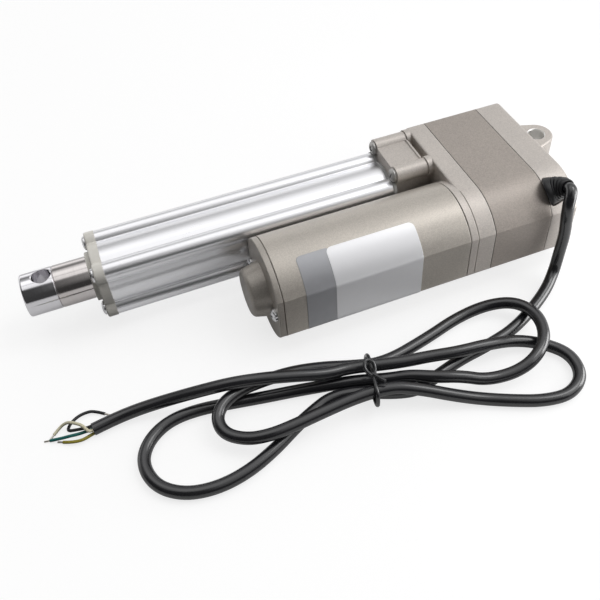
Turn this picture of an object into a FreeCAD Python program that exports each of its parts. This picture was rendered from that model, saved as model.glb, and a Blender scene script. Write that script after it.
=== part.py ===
import FreeCAD, Part
import math
import os

# Electric linear actuator with a parallel motor, lying on its side, retracted.
# X runs from the rear pivot to the rod end, Y from the rod to the motor, Z up. Millimetres.

# Overall sizes
stroke = 100.0
rod_showing = 14.8
pivot_hole = 8.0
hole_chamfer = 0.5
running_gap = 0.05
slip_gap = 0.1
seat_gap = 0.02
loose_gap = 0.4
past = 1.0
end_gap = 0.6
joint_line = 0.35
joint_depth = 0.3
bend_share = 0.45

# Housing section: a box with a round motor side that carries one flat
far_corner = 3.0
flat_depth = 2.7
motor_tube_gap = 2.0
wall = 3.0
gasket = 0.3
seal_inset = 0.15

# Stations along X
lug_reach = 15.4
cover_length = 13.4
gear_length = 27.7
flange_length = 9.0
collar_length = 2.6
collar_seam = 1.0
pedestal_length = 18.0
tube_gasket_length = 1.5
cap_length = 4.4
collar_proud = 2.0

# Rear lug
lug_radius = 8.2
lug_half_thick = 7.5
lug_flare = 20.0
lug_root = 2.0
lug_round = 0.8

# Rear cover
cover_round = 1.6
cover_wall = 4.0
cover_floor = 6.4
pocket_short = 7.0
rear_screw_offset = 14.5
axle_wall = 3.0
axle_seat = 1.0
rear_thread = 9.0
front_thread = 13.0

# Rod, nut and screw
rod_radius = 9.5
rod_bore = 6.5
rod_end_back = 4.7
rod_end_front = 9.2
rod_spigot = 10.0
rod_chamfer = 0.3
tip_round = 0.9
screw_radius = 5.0
screw_seat = 4.5
screw_tail = 4.0
screw_shoulder = 7.0
shoulder_room = 1.0
screw_chamfer = 0.8
nut_setback = 3.0
nut_length = 16.0
nut_spigot = 9.0
key_width = 4.0
key_height = 1.1
end_margin = 1.5

# Extruded tube
bush_wall = 1.7
tube_wall = 3.0
tube_lobe = 4.25
tube_crease = 0.8
tube_channel = 1.75
channel_wall = 1.9
cap_lip = 0.35
bush_length = 13.0
tube_screw_bite = 10.0
cap_round_front = 0.7
wiper_wall = 1.1
wiper_depth = 2.6

# Pedestal between flange and tube
pedestal_step = 1.2
pedestal_dip = 2.6
boss_inset = 4.5
boss_radius = 4.0
boss_collar = 4.5
neck_length = 2.4
neck_depth = 4.4
lip_width = 1.0
lip_height = 0.6
flange_round = 0.8
root_overlap = 3.0
bearing_depth = 2.0
axle_depth = 3.4
bush_depth = 3.0

# Sealed ball bearing of the lead screw
bearing_radius = 11.0
bearing_width = 6.0
bearing_ring = 1.9
retainer_thick = 1.2
retainer_inner = 8.6
retainer_slit = 4.0

# Gears
module_ratio = 0.8
gear_wall = 1.65
motor_teeth = 10
idler_teeth = 36
idler_pinion_teeth = 12
screw_teeth = 25
tooth_shift = 0.4
tooth_addendum = 0.85
tooth_dedendum = 1.25
tooth_thinning = 0.07
pressure_angle = math.radians(20.0)
fast_face = 7.0
pinion_over = 0.8
slow_face = 11.0
axle_radius = 2.5
idler_place = 2.4
screw_gear_place = 15.4
lock_nut_length = 4.4
lock_nut_radius = 7.0

# Motor
motor_wall = 2.0
motor_gap = 0.4
motor_length = 85.3
cap_plate = 3.0
cap_seam = 0.4
cap_seam_depth = 0.7
cap_inset = 0.1
cap_round = 0.5
cone_base = 12.4
cone_end = 10.4
cone_length = 8.2
cone_round = 2.4
shaft_radius = 2.5
bush_radius = 6.0
spigot_depth = 3.0
spigot_wall = 4.0
bush_cover = 2.5
core_radius = 12.6
core_length = 36.0
core_place = 24.0
core_slots = 8
slot_share = 0.55
slot_half = 1.7
mouth_half = 0.7
tooth_tip = 1.4
winding_reach = 6.0
winding_step = 1.6
magnet_inner = 13.4
magnet_half_angle = 52.0
magnet_over = 3.0
commutator_radius = 8.0
commutator_length = 11.0
brush_size = 5.0
brush_low = 8.0
brush_high = 16.0
brush_wall = 1.4
holder_thick = 2.4
holder_room = 2.0
bolt_place = 15.7
bolt_radius = 1.8
bolt_head = 3.1
bolt_head_length = 2.2
bolt_bite = 2.6

# Screws
screw_shank = 1.9
screw_head = 3.15
screw_head_length = 1.6
housing_shank = 2.0
housing_head = 3.2
housing_head_length = 2.0
head_bevel = 0.35
seat_depth = 1.0
tip_clearance = 0.5
cap_screw_length = 16.0

# Cable and gland
cable_radius = 2.6
gland_wall = 2.9
gland_rim = 0.7
gland_base_length = 2.4
gland_body_length = 7.5
mouth_wall = 1.4
exit_run = 7.0
gland_sunk = 0.6
gland_ribs = 3
rib_first = 3.4
rib_pitch = 1.8
rib_width = 0.9
rib_proud = 0.45
gland_angle = 56.0
gland_lean = 35.0
wire_radius = 0.65
wire_place = 1.1
wire_lead = 1.2
tie_radius = 0.8
tie_eye = 2.2
tie_eye_low = 1.1
tie_tail = 6.5

# Derived sizes
housing_form = (housing_shank, housing_head, housing_head_length)
tube_form = (tube_channel, screw_head, screw_head_length)
bolt_form = (bolt_radius, bolt_head, bolt_head_length)
tube_length = nut_setback + nut_length + stroke + end_margin + bush_length
tube_bore = rod_radius + bush_wall
tube_round = tube_bore + tube_wall
lobe_from_bore = tube_bore + channel_wall + tube_channel
lobe_from_bearing = bearing_radius + screw_head + loose_gap
tube_lobe_place = max(lobe_from_bore, lobe_from_bearing) / math.sqrt(2.0)
pedestal_side = tube_round - pedestal_step
tube_reach = tube_lobe_place + tube_lobe
boss_z = tube_reach + housing_head + running_gap
half_height = boss_z + boss_inset
pedestal_top = half_height - pedestal_dip
motor_y = tube_reach + cap_lip + motor_tube_gap + half_height - flat_depth
slow_teeth = idler_pinion_teeth + screw_teeth
fast_teeth = motor_teeth + idler_teeth
module_slow = 2.0 * motor_y / (slow_teeth + module_ratio * fast_teeth)
module_fast = module_ratio * module_slow
idler_y = module_slow * slow_teeth / 2.0
gear_room = module_slow * (screw_teeth / 2.0 + tooth_addendum - tooth_shift) + loose_gap
far_side = gear_room + gear_wall
boss_y = far_side - boss_radius
gland_body_radius = cable_radius + gland_wall
gland_radius = gland_body_radius + gland_rim
gland_seat = gland_radius + slip_gap + loose_gap
gland_mouth = cable_radius + mouth_wall
cable_width = 2 * cable_radius

# Derived places
x_cover = lug_reach
x_cover_front = x_cover + cover_length
x_gear = x_cover_front + gasket
x_gear_front = x_gear + gear_length
x_flange = x_gear_front + gasket
x_flange_front = x_flange + flange_length
x_collar_front = x_flange_front + collar_length
x_pedestal_front = x_flange_front + pedestal_length
x_tube = x_pedestal_front + tube_gasket_length
x_tube_front = x_tube + tube_length
x_cap_front = x_tube_front + cap_length
x_motor = x_collar_front + motor_gap
x_motor_front = x_motor + motor_length
x_motor_end = x_motor_front + cap_plate
x_rod_end = x_cap_front + collar_proud + rod_showing
pivot_distance = x_rod_end + rod_end_back
x_rod_tip = pivot_distance + rod_end_front
motor_flat = motor_y + half_height - flat_depth
floor_z = -half_height


def vec(x, y, z):
    return FreeCAD.Vector(x, y, z)


def rod_x(radius, x0, x1, y=0.0, z=0.0):
    return Part.makeCylinder(radius, x1 - x0, vec(x0, y, z), vec(1, 0, 0))


def cone_x(r0, r1, x0, x1, y=0.0, z=0.0):
    return Part.makeCone(r0, r1, x1 - x0, vec(x0, y, z), vec(1, 0, 0))


def ring_x(outer, inner, x0, x1, y=0.0, z=0.0):
    return rod_x(outer, x0, x1, y, z).cut(rod_x(inner, x0 - past, x1 + past, y, z))


def block(x0, x1, y0, y1, z0, z1):
    return Part.makeBox(x1 - x0, y1 - y0, z1 - z0, vec(x0, y0, z0))


def corners(y, z):
    return [(-y, -z), (-y, z), (y, -z), (y, z)]


def arc_yz(radius, y, z, start, end):
    points = []
    for angle in (start, (start + end) / 2.0, end):
        turn = math.radians(angle)
        points.append(vec(0, y + radius * math.cos(turn), z + radius * math.sin(turn)))
    return Part.Arc(points[0], points[1], points[2]).toShape()


def face_at(edges, x):
    face = Part.Face(Part.Wire(Part.__sortEdges__(edges)))
    face.translate(vec(x, 0, 0))
    return face


def pull(edges, x0, x1):
    solid = face_at(edges, x0).extrude(vec(x1 - x0, 0, 0))
    if solid.Volume < 0:
        solid.reverse()
    return solid


def line(y0, z0, y1, z1):
    return Part.makeLine(vec(0, y0, z0), vec(0, y1, z1))


def housing_edges(inset):
    far = -far_side + inset
    top = half_height - inset
    flat = motor_y + half_height - flat_depth - inset
    kink = math.sqrt(top ** 2 - (flat - motor_y) ** 2)
    angle = math.degrees(math.atan2(kink, flat - motor_y))
    r = far_corner
    return [
        line(far, top - r, far, r - top),
        arc_yz(r, far + r, r - top, 180, 270),
        line(far + r, -top, motor_y, -top),
        arc_yz(top, motor_y, 0, 270, 360 - angle),
        line(flat, -kink, flat, kink),
        arc_yz(top, motor_y, 0, angle, 90),
        line(motor_y, top, far + r, top),
        arc_yz(r, far + r, top - r, 90, 180),
    ]


def motor_edges(inset):
    top = half_height - inset
    flat = half_height - flat_depth - inset
    kink = math.sqrt(top ** 2 - flat ** 2)
    angle = math.degrees(math.atan2(kink, flat))
    return [
        line(motor_y + flat, -kink, motor_y + flat, kink),
        arc_yz(top, motor_y, 0, angle, 180 - angle),
        line(motor_y - flat, kink, motor_y - flat, -kink),
        arc_yz(top, motor_y, 0, 180 + angle, 360 - angle),
    ]


def rim_edges(solid, x):
    found = []
    for edge in solid.Edges:
        box = edge.BoundBox
        if abs(box.XMin - x) < 1e-4 and abs(box.XMax - x) < 1e-4:
            found.append(edge)
    return found


def profile(outer, lobe, x0, x1):
    places = corners(tube_lobe_place, tube_lobe_place)
    lobes = [rod_x(lobe, x0, x1, y, z) for y, z in places]
    solid = rod_x(outer, x0, x1).multiFuse(lobes).removeSplitter()
    creases = []
    for edge in solid.Edges:
        foot = edge.Vertexes[0].Point
        off_axis = abs(math.hypot(foot.y, foot.z) - outer)
        off_lobe = min(abs(math.hypot(foot.y - y, foot.z - z) - lobe) for y, z in places)
        along_tube = edge.BoundBox.XLength > 0.9 * (x1 - x0)
        if along_tube and off_axis < seat_gap and off_lobe < seat_gap:
            creases.append(edge)
    return solid.makeFillet(tube_crease, creases)


def pan_screw(x_seat, direction, length, form, y, z):
    shank, head, head_length = form
    tip = x_seat - direction * length
    top = x_seat + direction * head_length
    body = rod_x(shank, min(tip, x_seat), max(tip, x_seat), y, z)
    cap = Part.makeCylinder(head, head_length, vec(x_seat, y, z), vec(direction, 0, 0))
    cap = cap.makeChamfer(head_length * head_bevel, rim_edges(cap, top))
    return body.fuse(cap)


def gear_edges(teeth, module, shift, centre_y, phase):
    base = module * teeth * math.cos(pressure_angle) / 2.0
    tip = module * (teeth / 2.0 + tooth_addendum + shift)
    root = module * (teeth / 2.0 - tooth_dedendum + shift)
    start = max(base, root)
    pitch = module * teeth / 2.0
    half = (math.pi / 2.0 + 2.0 * shift * math.tan(pressure_angle)) / teeth - tooth_thinning / pitch
    rolled = half + math.tan(pressure_angle) - pressure_angle

    def flank(radius):
        angle = math.acos(min(1.0, base / radius))
        return rolled - math.tan(angle) + angle

    def point(radius, angle):
        return vec(0, centre_y + radius * math.cos(angle), radius * math.sin(angle))

    middle = (start + tip) / 2.0
    edges = []
    for index in range(teeth):
        centre = phase + 2.0 * math.pi * index / teeth
        gap = centre + math.pi / teeth
        following = centre + 2.0 * math.pi / teeth
        low = point(root, centre + flank(start))
        rise = [point(r, centre - flank(r)) for r in (start, middle, tip)]
        fall = [point(r, centre + flank(r)) for r in (tip, middle, start)]
        if start > root + 1e-6:
            edges.append(Part.makeLine(point(root, centre - flank(start)), rise[0]))
            edges.append(Part.makeLine(fall[2], low))
        edges.append(Part.Arc(rise[0], rise[1], rise[2]).toShape())
        edges.append(Part.Arc(rise[2], point(tip, centre), fall[0]).toShape())
        edges.append(Part.Arc(fall[0], fall[1], fall[2]).toShape())
        edges.append(Part.Arc(low, point(root, gap), point(root, following - flank(start))).toShape())
    return edges


def bent(before, here, after):
    back = here - before
    ahead = after - here
    turn = back.getAngle(ahead)
    reach = bend_share * min(back.Length, ahead.Length)
    bend = reach / math.tan(turn / 2.0)
    back.normalize()
    ahead.normalize()
    inward = ahead - back
    inward.normalize()
    middle = here + inward * (bend / math.cos(turn / 2.0) - bend)
    return here - back * reach, middle, here + ahead * reach, bend, bend * turn


def tube_path(points, radius, name):
    edges = []
    radii = []
    start = points[0]
    length = 0.0
    for before, here, after in zip(points, points[1:], points[2:]):
        first, middle, last, bend, run = bent(before, here, after)
        edges.append(Part.makeLine(start, first))
        edges.append(Part.Arc(first, middle, last).toShape())
        length += (first - start).Length + run
        radii.append(bend)
        start = last
    edges.append(Part.makeLine(start, points[-1]))
    length += (points[-1] - start).Length
    heading = points[1] - points[0]
    ring = Part.Wire([Part.makeCircle(radius, points[0], heading)])
    solid = Part.Wire(edges).makePipeShell([ring], True, False)
    if solid.Volume < 0:
        solid.reverse()
    expected = math.pi * radius ** 2 * length
    print(name, "length", round(length, 1), "least bend radius", round(min(radii), 2))
    print(name, "volume", round(solid.Volume, 1), "expected", round(expected, 1))
    return solid


def tube_loop(points, radius):
    edges = []
    count = len(points)
    ends = []
    for index in range(count):
        first, middle, last, bend, run = bent(points[index - 1], points[index], points[(index + 1) % count])
        edges.append(Part.Arc(first, middle, last).toShape())
        ends.append((first, last))
    for index in range(count):
        edges.append(Part.makeLine(ends[index][1], ends[(index + 1) % count][0]))
    loop = Part.Wire(Part.__sortEdges__(edges))
    opening = loop.OrderedEdges[0]
    heading = opening.tangentAt(opening.FirstParameter)
    ring = Part.Wire([Part.makeCircle(radius, loop.OrderedVertexes[0].Point, heading)])
    solid = loop.makePipeShell([ring], True, False)
    if solid.Volume < 0:
        solid.reverse()
    return solid


os.makedirs("parts", exist_ok=True)


def keep(shape, name):
    shape.exportStep("parts/" + name + ".step")


def keep_group(solids, name):
    keep(Part.makeCompound(solids), name)


# Rear cover: a cast lid with the pivot lug, four screw seats and the slanted gland seat
cover = pull(housing_edges(0), x_cover, x_cover_front)
cover = cover.makeFillet(cover_round, rim_edges(cover, x_cover))
lug_turn = math.radians(lug_flare)
touch_x = -lug_radius * math.sin(lug_turn)
touch_y = lug_radius * math.cos(lug_turn)
root_x = x_cover + lug_root
root_y = touch_y + (root_x - touch_x) * math.tan(lug_turn)
lug_places = [(touch_x, touch_y), (root_x, root_y), (root_x, -root_y), (touch_x, -touch_y)]
lug_points = [vec(x, y, 0) for x, y in lug_places]
lug_wire = [Part.makeLine(lug_points[k], lug_points[k + 1]) for k in range(3)]
lug_wire.append(Part.Arc(lug_points[3], vec(-lug_radius, 0, 0), lug_points[0]).toShape())
lug = Part.Face(Part.Wire(lug_wire))
lug.translate(vec(0, 0, -lug_half_thick))
lug = lug.extrude(vec(0, 0, 2 * lug_half_thick))
lug_rims = []
for edge in lug.Edges:
    box = edge.BoundBox
    if box.ZLength < 1e-4 and box.XMin < x_cover:
        lug_rims.append(edge)
lug = lug.makeFillet(lug_round, lug_rims)
cover = cover.fuse(lug).removeSplitter()


def pivot_cut(x, half_thick):
    hole = Part.makeCylinder(pivot_hole / 2.0, 2 * (half_thick + past), vec(x, 0, -half_thick - past))
    wide = pivot_hole / 2.0 + 2 * hole_chamfer
    low = Part.makeCone(wide, pivot_hole / 2.0 - past, wide - pivot_hole / 2.0 + past)
    low.translate(vec(x, 0, -half_thick - hole_chamfer))
    high = low.mirror(vec(0, 0, 0), vec(0, 0, 1))
    return hole.multiFuse([low, high])


cover = cover.cut(pivot_cut(0.0, lug_half_thick))
pocket_back = x_cover + cover_floor
pocket_top = half_height - cover_wall
pocket_side = motor_y - pocket_short
pocket = block(pocket_back, x_cover_front + past, wall - far_side, pocket_side, -pocket_top, pocket_top)
rear_screw_y = idler_y + rear_screw_offset
rear_places = [(-boss_y, -boss_z), (-boss_y, boss_z), (rear_screw_y, -boss_z), (rear_screw_y, boss_z)]
keepers = [rod_x(boss_radius, x_cover, x_cover_front + 2 * past, y, z) for y, z in rear_places]
keepers.append(rod_x(axle_radius + axle_wall, x_cover, x_cover_front + 2 * past, idler_y, 0))
for post in keepers:
    pocket = pocket.cut(post)
cover = cover.cut(pocket)
axle_back = pocket_back + axle_seat
cover = cover.cut(rod_x(axle_radius, axle_back, x_cover_front + past, idler_y, 0))
for y, z in rear_places:
    cover = cover.cut(rod_x(housing_shank + slip_gap, x_cover - past, x_cover_front + past, y, z))
    cover = cover.cut(rod_x(housing_head + loose_gap, x_cover - past, x_cover + seat_depth, y, z))
seat_turn = math.radians(gland_angle)
seat_lean = math.radians(gland_lean)
outward = vec(0, math.cos(seat_turn), math.sin(seat_turn))
gland_axis = vec(-1, 0, 0) * math.cos(seat_lean) + outward * math.sin(seat_lean)
gland_base = vec(x_cover_front - gland_sunk, motor_y, 0) + outward * (half_height - gland_sunk)
cover = cover.cut(Part.makeCylinder(gland_seat, half_height, gland_base, gland_axis))
keep(cover, "rear_cover")

# Gear housing: a plain ring casting, open at both ends, with screw posts in its corners
housing = pull(housing_edges(0), x_gear, x_gear_front)
cavity = pull(housing_edges(wall), x_gear - past, x_gear_front + past)
post_places = corners(boss_y, boss_z) + rear_places[2:]
for y, z in post_places:
    cavity = cavity.cut(rod_x(boss_radius, x_gear - 2 * past, x_gear_front + 2 * past, y, z))
for y, z in [(-boss_y, -boss_z), (-boss_y, boss_z)]:
    low = min(z, 2 * z)
    high = max(z, 2 * z)
    beyond = 2 * past
    post = block(x_gear - beyond, x_gear_front + beyond, y - boss_radius, y + boss_radius, low, high)
    cavity = cavity.cut(post)
nut_face = x_gear + screw_gear_place - lock_nut_length
cavity = cavity.fuse(rod_x(gear_room, nut_face - past, x_gear_front + past))
housing = housing.cut(cavity)
rear_reach = x_gear + rear_thread
front_reach = x_gear_front - front_thread
for y, z in rear_places:
    housing = housing.cut(rod_x(housing_shank, x_gear - past, rear_reach, y, z))
for y, z in corners(boss_y, boss_z):
    housing = housing.cut(rod_x(housing_shank, front_reach, x_gear_front + past, y, z))
keep(housing.removeSplitter(), "gear_housing")


def seal_plate(x, holes):
    plate = pull(housing_edges(seal_inset), x, x + gasket)
    plate = plate.cut(cavity)
    for y, z in holes:
        plate = plate.cut(rod_x(housing_shank + slip_gap, x - past, x + past, y, z))
    return plate


keep(seal_plate(x_cover_front, rear_places), "rear_gasket")
keep(seal_plate(x_gear_front, corners(boss_y, boss_z)), "front_gasket")

# Front housing: flange, motor collar and the four-lobed pedestal in one casting
front = pull(housing_edges(0), x_flange, x_flange_front)
front = front.makeFillet(flange_round, rim_edges(front, x_flange_front))
x_root = x_flange_front - root_overlap
collar = pull(motor_edges(0), x_root, x_collar_front)
middle_block = block(x_root, x_pedestal_front, -boss_y, boss_y, -pedestal_top, pedestal_top)
side_block = block(x_root, x_pedestal_front, -pedestal_side, pedestal_side, -boss_z, boss_z)
x_neck = x_flange_front + neck_length
neck_floor = pedestal_top - neck_depth
lip_top = pedestal_top + lip_height
necks = []
pieces = [collar]
for low, high, top in [(neck_floor, half_height, lip_top), (-half_height, -neck_floor, -lip_top)]:
    necks.append(block(x_flange_front, x_neck, -boss_y, boss_y, low, high))
    pieces.append(block(x_neck, x_neck + lip_width, -boss_y, boss_y, min(top, 0), max(top, 0)))
rails = [rod_x(boss_radius, x_root, x_pedestal_front, y, z) for y, z in corners(boss_y, boss_z)]
pedestal = middle_block.multiFuse([side_block] + rails)
for neck in necks:
    pedestal = pedestal.cut(neck)
for y, z in corners(boss_y, boss_z):
    pieces.append(rod_x(boss_collar, x_root, x_neck, y, z))
pedestal = pedestal.multiFuse(pieces)
front = front.fuse(pedestal).removeSplitter()
for y, z in corners(boss_y, boss_z):
    groove = ring_x(boss_collar + joint_depth, boss_radius - joint_depth, x_neck, x_neck + joint_line, y, z)
    front = front.cut(groove.cut(middle_block).cut(side_block))
x_seam = x_flange_front - collar_seam
seam = pull(housing_edges(-joint_depth), x_seam, x_seam + joint_line)
seam = seam.cut(pull(housing_edges(joint_depth), x_seam - past, x_seam + past))
front = front.cut(seam.common(block(x_seam, x_flange_front, motor_y, 2 * motor_flat, floor_z, half_height)))
bearing_back = x_flange + bearing_depth
bearing_front = bearing_back + bearing_width
front = front.cut(rod_x(bearing_radius, x_flange - past, bearing_front))
front = front.cut(rod_x(screw_shoulder + shoulder_room, x_flange, x_pedestal_front + past))
axle_front = x_flange + axle_depth
front = front.cut(rod_x(axle_radius, x_flange - past, axle_front, idler_y, 0))
bush_back = x_flange + bush_depth
shaft_way = (shaft_radius + bush_radius) / 2.0
front = front.cut(rod_x(shaft_way, x_flange - past, x_collar_front + past, motor_y, 0))
front = front.cut(rod_x(bush_radius, bush_back, x_collar_front + past, motor_y, 0))
for y, z in corners(boss_y, boss_z):
    front = front.cut(rod_x(housing_shank + slip_gap, x_flange - past, x_pedestal_front + past, y, z))
head_depth = x_flange + screw_head_length + seat_depth
for y, z in corners(tube_lobe_place, tube_lobe_place):
    front = front.cut(rod_x(screw_shank + slip_gap, x_flange - past, x_pedestal_front + past, y, z))
    front = front.cut(rod_x(screw_head + loose_gap, x_flange - past, head_depth, y, z))
bolt_tip = x_flange_front - bolt_bite
for side in (-bolt_place, bolt_place):
    front = front.cut(rod_x(bolt_radius, bolt_tip, x_collar_front + past, motor_y + side, 0))
keep(front, "front_housing")

housing_screws = []
for y, z in corners(boss_y, boss_z):
    reach = x_pedestal_front - front_reach - tip_clearance
    housing_screws.append(pan_screw(x_pedestal_front, 1, reach, housing_form, y, z))
keep_group(housing_screws, "housing_screws")
cover_screws = []
for y, z in rear_places:
    seat = x_cover + seat_depth
    reach = rear_reach - seat - tip_clearance
    cover_screws.append(pan_screw(seat, -1, reach, housing_form, y, z))
keep_group(cover_screws, "rear_cover_screws")

# Extruded tube: a round tube with four round lobes, their screw channels and two key grooves
tube = profile(tube_round, tube_lobe, x_tube, x_tube_front)
tube = tube.cut(rod_x(tube_bore, x_tube - past, x_tube_front + past))
groove = tube_bore + key_height
tube = tube.cut(block(x_tube - past, x_tube_front + past, -key_width / 2, key_width / 2, -groove, groove))
for y, z in corners(tube_lobe_place, tube_lobe_place):
    tube = tube.cut(rod_x(tube_channel, x_tube - past, x_tube_front + past, y, z))
keep(tube, "outer_tube")
seal = profile(tube_round + cap_lip, tube_lobe + cap_lip, x_pedestal_front, x_tube)
seal = seal.common(block(x_pedestal_front, x_tube, -half_height, half_height, -boss_z, boss_z))
seal = seal.cut(rod_x(tube_bore, x_pedestal_front - past, x_tube + past))
for y, z in corners(tube_lobe_place, tube_lobe_place):
    seal = seal.cut(rod_x(screw_shank + slip_gap, x_pedestal_front - past, x_tube + past, y, z))
for y, z in corners(boss_y, boss_z):
    seal = seal.cut(rod_x(housing_head + loose_gap, x_pedestal_front - past, x_tube + past, y, z))
keep(seal, "tube_gasket")
tube_screws = []
for y, z in corners(tube_lobe_place, tube_lobe_place):
    reach = x_tube + tube_screw_bite - head_depth
    tube_screws.append(pan_screw(head_depth, -1, reach, tube_form, y, z))
keep_group(tube_screws, "tube_screws")

# Front cap, guide bush, wiper and the four cap screws
cap = profile(tube_round + cap_lip, tube_lobe + cap_lip, x_tube_front, x_cap_front)
cap = cap.makeFillet(cap_round_front, rim_edges(cap, x_cap_front))
wiper_outer = rod_radius + wiper_wall
x_collar = x_cap_front + collar_proud
cap = cap.fuse(rod_x(tube_bore - 2 * slip_gap, x_cap_front - past, x_collar)).removeSplitter()
cap = cap.cut(rod_x(rod_radius + loose_gap, x_tube_front - past, x_collar + past))
wiper_back = x_cap_front - wiper_depth
cap = cap.cut(rod_x(wiper_outer, wiper_back, x_collar + past))
for y, z in corners(tube_lobe_place, tube_lobe_place):
    cap = cap.cut(rod_x(screw_shank + slip_gap, x_tube_front - past, x_cap_front + past, y, z))
keep(cap, "front_cap")
wiper = ring_x(wiper_outer, rod_radius + running_gap, wiper_back, x_collar - loose_gap)
keep(wiper, "rod_wiper")
bush_front = x_tube_front - bush_length
guide = ring_x(tube_bore - seat_gap, rod_radius + running_gap, bush_front, x_tube_front)
keep(guide, "rod_guide_bush")
cap_screws = []
for y, z in corners(tube_lobe_place, tube_lobe_place):
    cap_screws.append(pan_screw(x_cap_front, 1, cap_screw_length, tube_form, y, z))
keep_group(cap_screws, "cap_screws")

# Rod assembly: drive nut, hollow rod and solid rod end with the cross hole
x_nut = x_tube + nut_setback
x_nut_front = x_nut + nut_length
nut = rod_x(tube_bore - slip_gap, x_nut, x_nut_front)
key = groove - slip_gap
nut = nut.fuse(block(x_nut, x_nut_front, slip_gap - key_width / 2, key_width / 2 - slip_gap, -key, key))
nut = nut.common(rod_x(key, x_nut, x_nut_front))
nut = nut.fuse(rod_x(rod_bore - seat_gap, x_nut_front - past, x_nut_front + nut_spigot)).removeSplitter()
nut = nut.cut(rod_x(screw_radius + running_gap, x_nut - past, x_nut_front + nut_spigot + past))
keep(nut, "drive_nut")
rod = ring_x(rod_radius, rod_bore, x_nut_front, x_rod_end)
front_rims = [edge for edge in rim_edges(rod, x_rod_end) if edge.Length > 2 * math.pi * rod_bore + 1]
rod = rod.makeChamfer(rod_chamfer, front_rims)
keep(rod, "piston_rod")
tip = rod_x(rod_radius, x_rod_end, x_rod_tip)
tip = tip.makeChamfer(rod_chamfer, rim_edges(tip, x_rod_end))
tip = tip.makeFillet(tip_round, rim_edges(tip, x_rod_tip))
tip = tip.fuse(rod_x(rod_bore - seat_gap, x_rod_end - rod_spigot, x_rod_end + past)).removeSplitter()
tip = tip.cut(pivot_cut(pivot_distance, rod_radius))
keep(tip, "rod_end")

# Lead screw with its gear, lock nut and ball bearing
gear_back = nut_face + lock_nut_length
gear_hub = bearing_back
screw = rod_x(screw_tail, nut_face - end_gap, gear_back)
screw = screw.fuse(rod_x(screw_seat, gear_back, gear_hub))
screw = screw.fuse(rod_x(screw_radius, gear_hub, bearing_front))
shoulder_front = bearing_front + screw_radius
screw = screw.fuse(rod_x(screw_shoulder, bearing_front, shoulder_front))
screw_front = x_nut + stroke + nut_length + past
screw = screw.fuse(rod_x(screw_radius, shoulder_front, screw_front)).removeSplitter()
screw = screw.makeChamfer(screw_chamfer, rim_edges(screw, screw_front))
keep(screw, "lead_screw")
gear_front = gear_back + slow_face
wheel_rim = gear_edges(screw_teeth, module_slow, -tooth_shift, 0.0, math.pi / screw_teeth)
wheel = pull(wheel_rim, gear_back, gear_front)
wheel = wheel.fuse(rod_x(screw_shoulder, gear_front - past, gear_hub))
wheel = wheel.cut(rod_x(screw_seat, gear_back - past, gear_hub + past))
keep(wheel, "screw_gear")


def hex_point(k):
    turn = math.pi * k / 3.0
    return vec(nut_face, lock_nut_radius * math.cos(turn), lock_nut_radius * math.sin(turn))


hexagon = [hex_point(k) for k in range(7)]
lock_nut = Part.Face(Part.makePolygon(hexagon)).extrude(vec(gear_back - nut_face, 0, 0))
keep(lock_nut.cut(rod_x(screw_tail, nut_face - past, gear_back + past)), "lock_nut")
inner_radius = screw_radius + bearing_ring
outer_bore = inner_radius + slip_gap
keep(ring_x(bearing_radius - seat_gap, outer_bore, bearing_back, bearing_front), "bearing_outer_ring")
keep(ring_x(inner_radius, screw_radius + seat_gap, bearing_back, bearing_front), "bearing_inner_ring")
retainer = ring_x(bearing_radius - seat_gap, retainer_inner, bearing_back - retainer_thick, bearing_back)
slit_half = retainer_slit / 2.0
slit = block(x_flange, bearing_back + past, -slit_half, slit_half, 0, bearing_radius + past)
keep(retainer.cut(slit), "bearing_retainer")

# Idler: large wheel and small pinion cut as one piece, turning on a fixed axle
wheel_back = x_gear + idler_place
wheel_front = wheel_back + fast_face
pinion_front = gear_front + end_gap
idler_rim = gear_edges(idler_teeth, module_fast, -tooth_shift, idler_y, math.pi / idler_teeth)
idler = pull(idler_rim, wheel_back, wheel_front)
pinion_rim = gear_edges(idler_pinion_teeth, module_slow, tooth_shift, idler_y, 0.0)
idler = idler.fuse(pull(pinion_rim, wheel_front - past, pinion_front))
idler = idler.cut(rod_x(axle_radius + running_gap, wheel_back - past, pinion_front + past, idler_y, 0))
keep(idler, "idler_gear")
keep(rod_x(axle_radius, axle_back, axle_front, idler_y, 0), "idler_axle")

# Motor: casing, magnets, end cap with conical boss, long bolts, bushes
x_spigot = x_motor_front - spigot_depth
casing = pull(motor_edges(0), x_motor, x_motor_front)
casing = casing.cut(pull(motor_edges(motor_wall), x_motor - past, x_motor_front + past))
keep(casing, "motor_casing")
ring_seal = pull(motor_edges(motor_gap), x_collar_front, x_motor)
ring_seal = ring_seal.cut(pull(motor_edges(motor_wall), x_collar_front - past, x_motor + past))
keep(ring_seal, "motor_gasket")
x_cap_plate = x_motor_front + cap_seam
end_cap = pull(motor_edges(cap_inset), x_cap_plate, x_motor_end)
end_cap = end_cap.makeFillet(cap_round, rim_edges(end_cap, x_motor_end))
cap_seat = pull(motor_edges(cap_seam_depth), x_motor_front, x_cap_plate)
x_cone_end = x_motor_end + cone_length
cone = cone_x(cone_base, cone_end, x_motor_end, x_cone_end, motor_y, 0)
cone = cone.makeFillet(cone_round, rim_edges(cone, x_cone_end))
spigot = pull(motor_edges(motor_wall + running_gap), x_spigot, x_motor_front)
spigot_inner = half_height - motor_wall - spigot_wall
spigot = spigot.cut(rod_x(spigot_inner, x_spigot - past, x_motor_front + past, motor_y, 0))
end_cap = end_cap.multiFuse([cap_seat, cone, spigot]).removeSplitter()
end_bush_front = x_cone_end - bush_cover
end_bush_back = x_motor_front + loose_gap
end_cap = end_cap.cut(rod_x(bush_radius, x_spigot, end_bush_front, motor_y, 0))
bolt_hole = bolt_radius + slip_gap
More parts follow.
